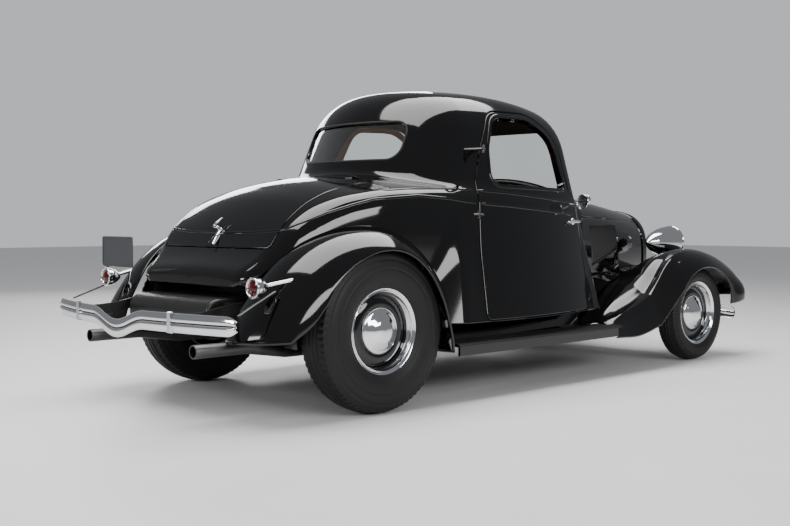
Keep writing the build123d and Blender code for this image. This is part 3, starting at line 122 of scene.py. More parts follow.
# Radial sections of the rear fender: angle, y_in, r_in, y_crown, r_crown, y_lip, r_lip
rear_fender_rows = np.array([
    (-17, 0.640, 0.478, 0.770, 0.474, 0.852, 0.450),
    (0, 0.640, 0.466, 0.785, 0.450, 0.857, 0.402),
    (27, 0.640, 0.466, 0.795, 0.440, 0.858, 0.375),
    (50, 0.620, 0.480, 0.795, 0.443, 0.858, 0.378),
    (75, 0.600, 0.496, 0.795, 0.450, 0.858, 0.388),
    (100, 0.590, 0.500, 0.792, 0.450, 0.858, 0.391),
    (122, 0.570, 0.515, 0.782, 0.464, 0.856, 0.394),
    (143, 0.540, 0.548, 0.765, 0.492, 0.850, 0.406),
    (162, 0.500, 0.588, 0.745, 0.542, 0.838, 0.418),
    (176, 0.470, 0.640, 0.720, 0.612, 0.815, 0.482),
    (182, 0.455, 0.662, 0.700, 0.650, 0.790, 0.545),
])
# Front fender behind the wheel: station, y_root, z_root, y_in, z_in, y_crown, z_crown, y_lip, z_lip
front_sweep_rows = np.array([
    (1.832, 0.530, 0.300, 0.640, 0.300, 0.780, 0.288, 0.842, 0.234),
    (2.060, 0.480, 0.398, 0.500, 0.402, 0.765, 0.352, 0.842, 0.230),
    (2.290, 0.430, 0.495, 0.475, 0.502, 0.755, 0.440, 0.842, 0.278),
])
# Front fender about the wheel: angle, then y and r in the same order
front_fender_rows = np.array([
    (150, 0.405, 0.460, 0.470, 0.468, 0.705, 0.490, 0.841, 0.345),
    (130, 0.360, 0.358, 0.470, 0.410, 0.690, 0.455, 0.841, 0.332),
    (110, 0.315, 0.296, 0.475, 0.352, 0.685, 0.427, 0.842, 0.318),
    (88, 0.285, 0.280, 0.480, 0.336, 0.680, 0.417, 0.843, 0.310),
    (66, 0.262, 0.300, 0.485, 0.350, 0.680, 0.432, 0.843, 0.312),
    (46, 0.262, 0.342, 0.495, 0.392, 0.680, 0.476, 0.842, 0.322),
    (30, 0.320, 0.420, 0.510, 0.448, 0.680, 0.532, 0.840, 0.330),
    (16, 0.420, 0.490, 0.530, 0.505, 0.680, 0.582, 0.836, 0.322),
    (9, 0.470, 0.500, 0.545, 0.510, 0.685, 0.575, 0.830, 0.320),
])

# Panel outlines in side view: station, z, corner radius
door_outline = [
    (0.704, 0.402, 0.030), (0.776, 1.074, 0.400), (0.862, 1.290, 0.300), (0.985, 1.512, 0.120),
    (1.340, 1.516, 0.300), (1.560, 1.400, 0.300), (1.640, 1.085, 0.020), (1.706, 1.052, 0.030),
    (1.708, 0.402, 0.060),
]
window_outline = [
    (0.915, 1.112, 0.060), (0.938, 1.300, 0.200), (1.010, 1.478, 0.090), (1.310, 1.486, 0.260),
    (1.510, 1.390, 0.200), (1.596, 1.098, 0.030),
]


# Curves and meshes

def table_curve(rows):
    """A smooth curve through a table's columns, by its first column."""
    knots = rows[:, 0]
    values = rows[:, 1:]
    step = np.diff(knots)[:, None]
    slope = np.diff(values, axis=0) / step
    tangent = np.zeros_like(values)
    tangent[0] = slope[0]
    tangent[-1] = slope[-1]
    tangent[1:-1] = (slope[:-1] * step[1:] + slope[1:] * step[:-1]) / (step[:-1] + step[1:])

    def curve(where):
        where = np.clip(where, knots[0], knots[-1])
        low = np.clip(np.searchsorted(knots, where, side="right") - 1, 0, len(knots) - 2)
        span = step[low]
        t = (where - knots[low])[:, None] / span
        t2 = t * t
        t3 = t2 * t
        start = (2 * t3 - 3 * t2 + 1) * values[low] + (t3 - 2 * t2 + t) * span * tangent[low]
        return start + (3 * t2 - 2 * t3) * values[low + 1] + (t3 - t2) * span * tangent[low + 1]

    return curve


def soft_min(a, b, width):
    """The smaller of two values, rounded over a width where they meet."""
    reach = np.maximum(width - np.abs(a - b), 0) / width
    return np.minimum(a, b) - reach * reach * width / 4


def arc_points(start, middle, end, count):
    """Points on the circle through three points of a plane."""
    (ax, ay), (bx, by), (cx, cy) = start, middle, end
    d = 2 * (ax * (by - cy) + bx * (cy - ay) + cx * (ay - by))
    if abs(d) < 1e-9:
        return [(ax + (cx - ax) * i / count, ay + (cy - ay) * i / count) for i in range(count + 1)]
    ux = ((ax * ax + ay * ay) * (by - cy) + (bx * bx + by * by) * (cy - ay) + (cx * cx + cy * cy) * (ay - by)) / d
    uy = ((ax * ax + ay * ay) * (cx - bx) + (bx * bx + by * by) * (ax - cx) + (cx * cx + cy * cy) * (bx - ax)) / d
    radius = math.hypot(ax - ux, ay - uy)
    turn_a = math.atan2(ay - uy, ax - ux)
    turn_b = (math.atan2(by - uy, bx - ux) - turn_a) % (2 * math.pi)
    turn_c = (math.atan2(cy - uy, cx - ux) - turn_a) % (2 * math.pi)
    sweep = turn_c if turn_b < turn_c else turn_c - 2 * math.pi
    return [
        (ux + radius * math.cos(turn_a + sweep * i / count), uy + radius * math.sin(turn_a + sweep * i / count))
        for i in range(count + 1)
    ]


def resample(points, step, closed=True):
    """Points a step apart along a line."""
    line = np.array(points, dtype=float)
    if closed:
        line = np.vstack([line, line[:1]])
    lengths = np.concatenate([[0], np.cumsum(np.linalg.norm(np.diff(line, axis=0), axis=1))])
    count = max(8, int(round(lengths[-1] / step)))
    marks = np.linspace(0, lengths[-1], count + 1)
    out = np.column_stack([np.interp(marks, lengths, line[:, i]) for i in range(line.shape[1])])
    return out[:-1] if closed else out


def rounded_outline(corners, step=0.012):
    """A closed outline with rounded corners, in points a step apart."""
    points = []
    count = len(corners)
    for i in range(count):
        before = np.array(corners[i - 1][:2])
        here = np.array(corners[i][:2])
        after = np.array(corners[(i + 1) % count][:2])
        radius = corners[i][2]
        to_before = (before - here) / np.linalg.norm(before - here)
        to_after = (after - here) / np.linalg.norm(after - here)
        half = math.acos(np.clip(np.dot(to_before, to_after), -1, 1)) / 2
        reach = radius / math.tan(half)
        bend_from = here + to_before * reach
        bend_to = here + to_after * reach
        middle_way = (to_before + to_after) / np.linalg.norm(to_before + to_after)
        middle = here + middle_way * (radius / math.sin(half) - radius)
        points.extend(arc_points(bend_from, middle, bend_to, 10))
    return resample(points, step)


def grow_outline(points, amount):
    """The outline moved outward by an amount in its own plane."""
    area = np.sum(points[:, 0] * np.roll(points[:, 1], -1) - np.roll(points[:, 0], -1) * points[:, 1])
    along = np.roll(points, -1, axis=0) - np.roll(points, 1, axis=0)
    along /= np.linalg.norm(along, axis=1)[:, None]
    outward = np.column_stack([along[:, 1], -along[:, 0]]) * np.sign(area)
    return points + outward * amount


def add_piece(name, points, faces, finishes, indices=None, normals=None, sharp=None):
    """A smooth object from points and faces. indices pick each face's finish."""
    mesh = bpy.data.meshes.new(name)
    mesh.from_pydata([tuple(map(float, p)) for p in points], [], [tuple(map(int, f)) for f in faces])
    for finish in finishes:
        mesh.materials.append(finish)
    if indices is not None:
        mesh.polygons.foreach_set("material_index", np.asarray(indices, dtype=np.int32))
    mesh.polygons.foreach_set("use_smooth", np.ones(len(mesh.polygons), dtype=bool))
    mesh.update()
    if normals is not None:
        mesh.normals_split_custom_set(normals)
    elif sharp is not None:
        mesh.set_sharp_from_angle(angle=math.radians(sharp))
    obj = bpy.data.objects.new(name, mesh)
    bpy.context.scene.collection.objects.link(obj)
    return obj


def grid_faces(rows, columns, ring=False, flip=False):
    """Quads between rows of points. A ring joins each row's ends."""
    faces = []
    last = columns if ring else columns - 1
    for i in range(rows - 1):
        for j in range(last):
            a = i * columns + j
            b = i * columns + (j + 1) % columns
            face = (a, b, b + columns, a + columns)
            faces.append(face[::-1] if flip else face)
    return faces


def apply_modifiers(obj):
    """Replaces the mesh by what its modifiers make of it."""
    depsgraph = bpy.context.evaluated_depsgraph_get()
    mesh = bpy.data.meshes.new_from_object(obj.evaluated_get(depsgraph), depsgraph=depsgraph)
    obj.modifiers.clear()
    obj.data = mesh


def thicken(obj, depth):
    """Gives a sheet its thickness, on its inner side."""
    solid = obj.modifiers.new("thickness", "SOLIDIFY")
    solid.thickness = depth
    solid.offset = -1.0
    apply_modifiers(obj)


def lathe(name, profile, centre, axis, finishes, steps=96, sharp=40, squash=None):
    """Turns a profile of (along, radius) about an axis. squash may change each point's radius."""
    axis = Vector(axis).normalized()
    side = axis.orthogonal().normalized()
    if abs(axis.z) < 0.9:
        side = Vector((0, 0, 1)).cross(axis).normalized()
    up = axis.cross(side)
    points = []
    for along, radius in profile:
        for k in range(steps):
            turn = 2 * math.pi * k / steps
            r = radius if squash is None else squash(along, radius, k)
            points.append(Vector(centre) + axis * along + (side * math.cos(turn) + up * math.sin(turn)) * r)
    return add_piece(name, points, grid_faces(len(profile), steps, ring=True), finishes, sharp=sharp)


def sweep_tube(name, path, radii, finishes, sides=16, flat=1.0, up=(0, 0, 1), closed=False):
    """A tube along a path, with a radius for each point."""
    path = [Vector(p) for p in path]
    count = len(path)
    points = []
    for i, here in enumerate(path):
        ahead = path[(i + 1) % count] if closed or i < count - 1 else path[i]
        behind = path[i - 1] if closed or i > 0 else path[i]
        along = (ahead - behind).normalized()
        across = Vector(up).cross(along).normalized()
        rise = along.cross(across)
        radius = radii[i] if hasattr(radii, "__len__") else radii
        for k in range(sides):
            turn = 2 * math.pi * k / sides
            points.append(here + across * radius * math.cos(turn) + rise * radius * flat * math.sin(turn))
    faces = grid_faces(count, sides, ring=True)
    if closed:
        base = (count - 1) * sides
        faces += [(base + k, base + (k + 1) % sides, (k + 1) % sides, k) for k in range(sides)]
    else:
        faces.append(tuple(range(sides))[::-1])
        faces.append(tuple((count - 1) * sides + k for k in range(sides)))
    return add_piece(name, points, faces, finishes, sharp=50)


# The body's form

tub_curve = table_curve(tub_rows)
hood_curve = table_curve(hood_rows)


def section_value(curve, where, round_width):
    """Depth of points under a body section's sides and crown."""
    z_bottom, w_bottom, z_side, w_side, z_belt, w_belt, z_crown = curve(where[:, 0]).T
    z = where[:, 2]
    share_low = (z - z_side) * (z - z_belt) / ((z_bottom - z_side) * (z_bottom - z_belt))
    share_side = (z - z_bottom) * (z - z_belt) / ((z_side - z_bottom) * (z_side - z_belt))
    share_belt = (z - z_bottom) * (z - z_side) / ((z_belt - z_bottom) * (z_belt - z_side))
    wide = w_bottom * share_low + w_side * share_side + w_belt * share_belt
    y = np.abs(where[:, 1])
    crown = z_crown - (z_crown - z_belt) * (y / w_belt) ** 2
    return soft_min(wide - y, crown - z, round_width)


def plan_radius(row):
    """Reach of the upper body's plan from its middle, at each of the plan's turns."""
    _, s_front, w_front, s_side, w_side, s_quarter, w_quarter, s_corner, w_corner, s_rear, w_rear, s_back = row
    line = [(s_front, w_front * i / 12) for i in range(12)]
    line += arc_points((s_front, w_front), (s_side, w_side), (s_quarter, w_quarter), 40)[:-1]
    line += arc_points((s_quarter, w_quarter), (s_corner, w_corner), (s_rear, w_rear), 16)[:-1]
    line += arc_points((s_rear, w_rear), (s_back, 0), (s_rear, -w_rear), 24)[:13]
    line = np.array(line)
    turns = np.degrees(np.arctan2(line[:, 1], line[:, 0] - house_middle))
    reach = np.hypot(line[:, 1], line[:, 0] - house_middle)
    order = np.argsort(turns)
    table = np.interp(plan_turns, turns[order], reach[order])
    kernel = np.exp(-0.5 * (np.arange(-12, 13) / 5.0) ** 2)
    padded = np.concatenate([table[12:0:-1], table, table[-2:-14:-1]])
    return np.convolve(padded, kernel / kernel.sum(), mode="valid")


plan_turns = np.linspace(0, 180, 721)
plan_low = plan_radius(house_rows[0])
plan_high = plan_radius(house_rows[1])


def house_value(where):
    """Depth of points under the upper body's sides and roof."""
    s, y, z = where.T
    share = (z - house_rows[0][0]) / (house_rows[1][0] - house_rows[0][0])
    turn = np.degrees(np.arctan2(np.abs(y), s - house_middle))
    low = np.interp(turn, plan_turns, plan_low)
    high = np.interp(turn, plan_turns, plan_high)
    plan = low + (high - low) * share - np.hypot(s - house_middle, y)
    sag = roof_cross - np.sqrt(roof_cross**2 - np.clip(y, -1, 1) ** 2)
    dome = roof_top - roof_spine + np.sqrt(np.maximum((roof_spine - sag) ** 2 - (s - roof_peak) ** 2, 0)) - z
    return soft_min(plan, dome, roof_round)


def body_value(where):
    """Depth of points inside the whole body: lower body and upper body joined."""
    tub = section_value(tub_curve, where, tub_round)
    tub = soft_min(tub, where[:, 0] - tail_station, tail_round)
    return -soft_min(-tub, -house_value(where), house_round)


def hood_value(where):
    """Depth of points inside the hood."""
    return section_value(hood_curve, where, hood_round)


def hit(value, start, way, far, rounds=24):
    """Where rays from inside a form leave it, by halving the distance."""
    low = np.zeros(len(way))
    high = np.full(len(way), far)
    for _ in range(rounds):
        middle = (low + high) / 2
        inside = value(start + way * middle[:, None]) > 0
        low = np.where(inside, middle, low)
        high = np.where(inside, high, middle)
    return start + way * low[:, None]


def surface_normal(value, where, step=0.002):
    """The way out of a form at points on its surface."""
    slopes = []
    for axis in range(3):
        shift = np.zeros(3)
        shift[axis] = step
        slopes.append(value(where + shift) - value(where - shift))
    normal = -np.column_stack(slopes)
    return normal / np.linalg.norm(normal, axis=1)[:, None]


def lay(outline, view):
    """Puts an outline drawn in a view onto the body."""
    a, b = np.asarray(outline, dtype=float).T
    flat = np.zeros_like(a)
    if view in ("left", "right"):
        way = 1.0 if view == "left" else -1.0
        return hit(body_value, np.column_stack([a, flat, b]), np.tile((0.0, way, 0.0), (len(a), 1)), 1.0)
    if view == "top":
        return hit(body_value, np.column_stack([a, b, flat + 0.70]), np.tile((0.0, 0.0, 1.0), (len(a), 1)), 1.2)
    if view == "back":
        return hit(body_value, np.column_stack([flat + 0.9, a, b]), np.tile((-1.0, 0.0, 0.0), (len(a), 1)), 1.6)
    return hit(body_value, np.column_stack([flat + 1.2, a, b]), np.tile((1.0, 0.0, 0.0), (len(a), 1)), 1.2)


def to_turns(where):
    """Points on the body as two angles, in degrees, seen from its heart."""
    away = where - body_heart
    lean = np.degrees(np.arctan2(away[:, 0], np.hypot(away[:, 1], away[:, 2])))
    roll = np.degrees(np.arctan2(away[:, 2], away[:, 1]))
    return np.column_stack([lean, np.where(roll < -90, roll + 360, roll)])


def from_turns(turns):
    """Points on the body from their two angles."""
    lean, roll = np.radians(turns).T
    way = np.column_stack([np.sin(lean), np.cos(lean) * np.cos(roll), np.cos(lean) * np.sin(roll)])
    return hit(body_value, np.tile(body_heart, (len(turns), 1)), way, 2.2)


def inside_loops(points, loops):
    """Which flat points lie inside the loops, with holes left out."""
    inside = np.zeros(len(points), dtype=bool)
    for loop in loops:
        nxt = np.roll(loop, -1, axis=0)
        for (ax, ay), (bx, by) in zip(loop, nxt):
            if ay == by:
                continue
            crosses = (points[:, 1] < ay) != (points[:, 1] < by)
            reach = ax + (points[:, 1] - ay) * (bx - ax) / (by - ay)
            inside ^= crosses & (points[:, 0] < reach)
    return inside


def place(where):
    """Moves points from stations to the shared frame."""
    return where + np.array((rear_axle_x, 0.0, 0.0))


# How near to an edge the inner points of a panel may come
edge_clearance = 0.007


def body_panel(name, edges, insets, finishes, depth, drop=0.0, lean_step=1.0, roll_step=1.6, roll_edge=0.0022):
    """A panel of the body between closed edge loops, with a rolled edge and an inner skin."""
    flat_edges = [to_turns(e) for e in edges]
    flat_insets = [to_turns(e) for e in insets]
    low = np.min(np.vstack(flat_edges), axis=0)
    high = np.max(np.vstack(flat_edges), axis=0)
    leans = np.arange(low[0], high[0], lean_step)
    rolls = np.arange(low[1], high[1], roll_step)
    grid = np.array([(a, b) for a in leans for b in rolls])
    grid = grid[inside_loops(grid, flat_insets)]
    grid_where = from_turns(grid)
    rings = np.vstack(edges + insets)
    tree = KDTree(len(rings))
    for i, p in enumerate(rings):
        tree.insert(p, i)
    tree.balance()
    clear = [tree.find(p)[2] > edge_clearance for p in grid_where]
    grid = grid[clear]
    grid_where = grid_where[clear]

    flat = np.vstack(flat_edges + flat_insets + [grid])
    where = np.vstack([rings, grid_where])
    links = []
    start = 0
    for loop in flat_edges + flat_insets:
        count = len(loop)
        links += [(start + i, start + (i + 1) % count) for i in range(count)]
        start += count
    out, _, triangles, origins, _, _ = delaunay_2d_cdt([Vector(p) for p in flat], links, [], 0, 1e-6)
    source = np.array([o[0] if o else -1 for o in origins])
    flat_out = np.array([(p[0], p[1]) for p in out])
    place_out = np.where(source[:, None] >= 0, where[source], 0)
    lost = np.where(source < 0)[0]
    if len(lost):
        place_out[lost] = from_turns(flat_out[lost])
    triangles = np.array([t for t in triangles if len(t) == 3])
    centres = flat_out[triangles].mean(axis=1)
    triangles = triangles[inside_loops(centres, flat_edges)]

    normal = surface_normal(body_value, place_out)
    # Every triangle faces out
    a, b, c = (place_out[triangles[:, i]] for i in range(3))
    facing = np.einsum("ij,ij->i", np.cross(b - a, c - a), normal[triangles[:, 0]])
    triangles[facing < 0] = triangles[facing < 0][:, ::-1]

    place_of = np.full(len(where), -1)
    for i, s in enumerate(source):
        if s >= 0:
            for o in origins[i]:
                place_of[o] = i
    outer = place_out - normal * drop
    shade = normal.copy()
    inner = place_out - normal * (depth + drop)
    rim_quads = []
    rim_ways = []
    edge_start = 0
    inset_start = sum(len(e) for e in edges)
    for edge in edges:
        count = len(edge)
        ids = place_of[np.arange(edge_start, edge_start + count)]
        near = place_of[np.arange(inset_start, inset_start + count)]
        way = place_out[ids] - place_out[near]
        way /= np.maximum(np.linalg.norm(way, axis=1), 1e-9)[:, None]
        outer[ids] -= normal[ids] * roll_edge
        turned = normal[ids] + 1.3 * way
        shade[ids] = turned / np.linalg.norm(turned, axis=1)[:, None]
        for i in range(count):
            j = (i + 1) % count
            rim_quads.append((ids[i], ids[j]))
            rim_ways.append(way[i] + way[j])
        edge_start += count
        inset_start += count

    total = len(outer)
    points = np.vstack([outer, inner])
    faces = [tuple(t) for t in triangles] + [tuple(t[::-1] + total) for t in triangles]
    loops = np.vstack([shade[triangles].reshape(-1, 3), -normal[triangles[:, ::-1]].reshape(-1, 3)])
    indices = [0] * len(triangles) + [1] * len(triangles)
    extra = []
    for (i, j), way in zip(rim_quads, rim_ways):
        quad = (i, j, j + total, i + total)
        facing = np.dot(np.cross(points[j] - points[i], points[i + total] - points[i]), way)
        faces.append(quad if facing > 0 else quad[::-1])
        extra += [way / max(np.linalg.norm(way), 1e-9)] * 4
        indices.append(0)
    loops = np.vstack([loops, np.array(extra)])
    return add_piece(name, place(points), faces, finishes, indices, normals=[tuple(n) for n in loops])


def strip_on_body(name, line, view, width, height, finish, step=0.012):
    """A raised bead that follows a line over the body."""
    where = lay(resample(line, step, closed=False), view)
    normal = surface_normal(body_value, where)
    along = np.gradient(where, axis=0)
    along /= np.linalg.norm(along, axis=1)[:, None]
    across = np.cross(normal, along)
    across /= np.linalg.norm(across, axis=1)[:, None]
    count = 9
    ends = np.clip(np.minimum(np.arange(len(where)), np.arange(len(where))[::-1]) / 4, 0.15, 1) ** 0.5
    points = []
    for i in range(len(where)):
        for k in range(count):
            turn = math.pi * k / (count - 1)
            lift = math.sin(turn) ** 0.8 * height * ends[i] - 0.001
            points.append(where[i] - across[i] * math.cos(turn) * width / 2 * ends[i] + normal[i] * lift)
    return add_piece(name, place(np.array(points)), grid_faces(len(where), count), [finish])


# Finishes

def new_group(name, inputs, outputs):
    """A shader group with named sockets, and its two end nodes."""
    group = bpy.data.node_groups.new(name, "ShaderNodeTree")
    for label, kind, default in inputs:
        socket = group.interface.new_socket(name=label, in_out="INPUT", socket_type=kind)
        socket.default_value = default
    for label, kind in outputs:
        group.interface.new_socket(name=label, in_out="OUTPUT", socket_type=kind)
    return group, group.nodes.new("NodeGroupInput"), group.nodes.new("NodeGroupOutput")


def add_node(tree, kind, inputs=(), **settings):
    """A shader node with its settings, and its inputs' values by socket."""
    node = tree.nodes.new("ShaderNode" + kind)
    for label, value in settings.items():
        setattr(node, label, value)
    for socket, value in inputs:
        node.inputs[socket].default_value = value
    return node


def link(tree, *pairs):
    """Links sockets, each pair as node and output, then node and input."""
    for start, out, end, into in pairs:
        tree.links.new(start.outputs[out], end.inputs[into])


def make_grain_group():
    """Fine relief from two sizes of noise, as a height and a mask."""
    tree, given, result = new_group(
        "surface_grain",
        [("Scale", "NodeSocketFloat", 100.0), ("Stretch", "NodeSocketVector", (1.0, 1.0, 1.0)),
         ("Coarse", "NodeSocketFloat", 0.5)],
        [("Height", "NodeSocketFloat"), ("Mask", "NodeSocketFloat")],
    )
    where = add_node(tree, "TexCoord")
    stretch = add_node(tree, "VectorMath", operation="MULTIPLY")
    fine = add_node(tree, "TexNoise", [("Detail", 4.0)])
    coarse = add_node(tree, "TexNoise", [("Detail", 2.0)])
    scale_down = add_node(tree, "Math", [(1, 0.08)], operation="MULTIPLY")
    mix = add_node(tree, "Mix")
    link(tree, (where, "Object", stretch, 0), (given, "Stretch", stretch, 1), (stretch, 0, fine, "Vector"),
         (stretch, 0, coarse, "Vector"), (given, "Scale", fine, "Scale"), (given, "Scale", scale_down, 0),
         (scale_down, 0, coarse, "Scale"), (given, "Coarse", mix, 0), (fine, "Fac", mix, 2), (coarse, "Fac", mix, 3),
         (mix, 0, result, "Height"), (coarse, "Fac", result, "Mask"))
    return tree


def make_dust_group():
    """Dust that lies on faces turned up, mixed into a colour and a roughness."""
    tree, given, result = new_group(
        "settled_dust",
        [("Colour", "NodeSocketColor", (0.5, 0.5, 0.5, 1.0)), ("Dust", "NodeSocketColor", (0.30, 0.27, 0.23, 1.0)),
         ("Roughness", "NodeSocketFloat", 0.3), ("Amount", "NodeSocketFloat", 0.1), ("Scale", "NodeSocketFloat", 12.0)],
        [("Colour", "NodeSocketColor"), ("Roughness", "NodeSocketFloat")],
    )
    turn = add_node(tree, "NewGeometry")
    split = add_node(tree, "SeparateXYZ")
    where = add_node(tree, "TexCoord")
    noise = add_node(tree, "TexNoise", [("Detail", 5.0)])
    upward = add_node(tree, "MapRange", [("From Min", -0.2), ("To Min", 0.25)])
    spread = add_node(tree, "Math", operation="MULTIPLY")
    amount = add_node(tree, "Math", operation="MULTIPLY", use_clamp=True)
    colour = add_node(tree, "Mix", data_type="RGBA")
    rough = add_node(tree, "Mix", [(3, 0.75)])
    link(tree, (turn, "Normal", split, 0), (split, "Z", upward, "Value"), (where, "Object", noise, "Vector"),
         (given, "Scale", noise, "Scale"), (upward, 0, spread, 0), (noise, "Fac", spread, 1), (spread, 0, amount, 0),
         (given, "Amount", amount, 1), (amount, 0, colour, 0), (given, "Colour", colour, 6),
         (given, "Dust", colour, 7), (amount, 0, rough, 0), (given, "Roughness", rough, 2),
         (colour, 2, result, "Colour"), (rough, 0, result, "Roughness"))
    return tree


def make_pebble_group():
    """Leather pebbles: a height, and a mask for the creases between them."""
    tree, given, result = new_group(
        "leather_pebble",
        [("Scale", "NodeSocketFloat", 260.0), ("Crease", "NodeSocketFloat", 0.4)],
        [("Height", "NodeSocketFloat"), ("Mask", "NodeSocketFloat")],
    )
    where = add_node(tree, "TexCoord")
    cells = add_node(tree, "TexVoronoi", feature="DISTANCE_TO_EDGE")
    folds = add_node(tree, "TexNoise", [("Scale", 9.0), ("Detail", 6.0)])
    rounding = add_node(tree, "MapRange", [("From Max", 0.35)])
    mix = add_node(tree, "Mix")
    link(tree, (where, "Object", cells, "Vector"), (where, "Object", folds, "Vector"),
         (given, "Scale", cells, "Scale"), (cells, "Distance", rounding, "Value"), (given, "Crease", mix, 0),
         (rounding, 0, mix, 2), (folds, "Fac", mix, 3), (mix, 0, result, "Height"), (folds, "Fac", result, "Mask"))
    return tree


grain_group = make_grain_group()
dust_group = make_dust_group()
pebble_group = make_pebble_group()


def finish(name, colour, roughness=0.3, metallic=0.0, grain=400.0, relief=0.02, relief_depth=0.0005, dust=0.0,
           shift=0.0, coat=0.0, stretch=(1.0, 1.0, 1.0), pebble=0.0, rough_spread=0.08, **sockets):
    """A finish with grain, colour variation and settled dust."""
    material = bpy.data.materials.new(name)
    material.use_nodes = True
    tree = material.node_tree
    shader = tree.nodes["Principled BSDF"]
    shader.inputs["Metallic"].default_value = metallic
    shader.inputs["Coat Weight"].default_value = coat
    shader.inputs["Coat Roughness"].default_value = 0.02
    for label, value in sockets.items():
        shader.inputs[label.replace("_", " ")].default_value = value
    if pebble:
        grained = add_node(tree, "Group", node_tree=pebble_group)
        grained.inputs["Crease"].default_value = pebble
    else:
        grained = add_node(tree, "Group", node_tree=grain_group)
        grained.inputs["Stretch"].default_value = stretch
    grained.inputs["Scale"].default_value = grain
    bump = add_node(tree, "Bump", [("Strength", relief), ("Distance", relief_depth)])
    tint = add_node(tree, "Mix", data_type="RGBA")
    tint.inputs[6].default_value = (*[max(c * (1 - shift), 0) for c in colour], 1.0)
    tint.inputs[7].default_value = (*[min(c * (1 + shift), 1) for c in colour], 1.0)
    spread = add_node(tree, "MapRange", [("To Min", max(roughness * (1 - rough_spread), 0)),
                                         ("To Max", min(roughness * (1 + rough_spread), 1))])
    settled = add_node(tree, "Group", node_tree=dust_group)
    settled.inputs["Amount"].default_value = dust
    link(tree, (grained, "Height", bump, "Height"), (bump, 0, shader, "Normal"), (grained, "Mask", tint, 0),
         (grained, "Mask", spread, "Value"), (tint, 2, settled, "Colour"), (spread, 0, settled, "Roughness"),
         (settled, "Colour", shader, "Base Color"), (settled, "Roughness", shader, "Roughness"))
    return material


def glass_finish(name, colour, roughness=0.0, ior=1.5):
    """Clear or tinted glass with a faint smear."""
    material = bpy.data.materials.new(name)
    material.use_nodes = True
    tree = material.node_tree
    shader = tree.nodes["Principled BSDF"]
    for label, value in (("Base Color", (*colour, 1.0)), ("Roughness", roughness), ("Transmission Weight", 1.0),
                         ("IOR", ior)):
        shader.inputs[label].default_value = value
    smear = add_node(tree, "Group", node_tree=grain_group)
    smear.inputs["Scale"].default_value = 30.0
    spread = add_node(tree, "MapRange", [("From Min", 0.45), ("To Min", roughness), ("To Max", roughness + 0.03)])
    link(tree, (smear, "Mask", spread, "Value"), (spread, 0, shader, "Roughness"))
    return material


# Settings that a user may change

class CoupePaintSettings(bpy.types.PropertyGroup):
    body_colour: bpy.props.FloatVectorProperty(
        name="Body colour", description="Colour of the body's gloss paint", subtype="COLOR", size=3,
        min=0.0, max=1.0, default=(0.0012, 0.0012, 0.0014))
    leather_colour: bpy.props.FloatVectorProperty(
        name="Leather colour", description="Colour of the seat and door leather", subtype="COLOR", size=3,
        min=0.0, max=1.0, default=(0.40, 0.15, 0.045))
    lens_colour: bpy.props.FloatVectorProperty(
        name="Tail lens colour", description="Colour of the tail lamps' glass", subtype="COLOR", size=3,
        min=0.0, max=1.0, default=(0.30, 0.006, 0.004))
    dust: bpy.props.FloatProperty(
        name="Dust", description="How much dust lies on the paint", subtype="FACTOR", min=0.0, max=1.0, default=0.004)


class CoupeBodySettings(bpy.types.PropertyGroup):
    panel_gap: bpy.props.FloatProperty(
        name="Panel gap", description="Gap round each door and lid", unit="LENGTH", min=0.002, max=0.01, default=0.005)
    panel_depth: bpy.props.FloatProperty(
        name="Panel depth", description="Thickness of the doors and body sides", unit="LENGTH", default=0.034)
    bead_width: bpy.props.FloatProperty(
        name="Bead width", description="Width of the belt mouldings", unit="LENGTH", default=0.016)
    bead_height: bpy.props.FloatProperty(
        name="Bead height", description="Height of the belt mouldings", unit="LENGTH", default=0.0045)


class CoupeHoodSettings(bpy.types.PropertyGroup):
    louvres: bpy.props.IntProperty(
        name="Louvres", description="Louvres in each side of the hood", min=1, max=40, default=25)
    louvre_height: bpy.props.FloatProperty(
        name="Louvre height", description="How far each louvre stands out", unit="LENGTH", default=0.008)


class CoupeWheelSettings(bpy.types.PropertyGroup):
    rear_radius: bpy.props.FloatProperty(
        name="Rear tyre radius", description="Radius of the rear tyres", unit="LENGTH", default=0.392)
    front_radius: bpy.props.FloatProperty(
        name="Front tyre radius", description="Radius of the front tyres", unit="LENGTH", default=0.308)
    tread_depth: bpy.props.FloatProperty(
        name="Tread depth", description="Depth of the tread's grooves", unit="LENGTH", default=0.006)


class CoupeSeatSettings(bpy.types.PropertyGroup):
    channels: bpy.props.IntProperty(
        name="Channels", description="Sewn channels across each cushion", min=2, max=24, default=12)
    channel_depth: bpy.props.FloatProperty(
        name="Channel depth", description="Depth of the sewn channels", unit="LENGTH", default=0.010)
    fill: bpy.props.FloatProperty(
        name="Fill", description="How tightly the cushions are stuffed", subtype="FACTOR", min=0.0, max=1.0,
        default=0.7)


class CoupeStageSettings(bpy.types.PropertyGroup):
    floor_size: bpy.props.FloatProperty(
        name="Floor size", description="Width of the floor", unit="LENGTH", default=60.0)
    light_power: bpy.props.FloatProperty(
        name="Light power", description="Power of the main soft light", unit="POWER", default=620.0)
    lens: bpy.props.FloatProperty(
        name="Lens", description="Focal length of the camera", unit="CAMERA", default=48.65)


finishes = {}


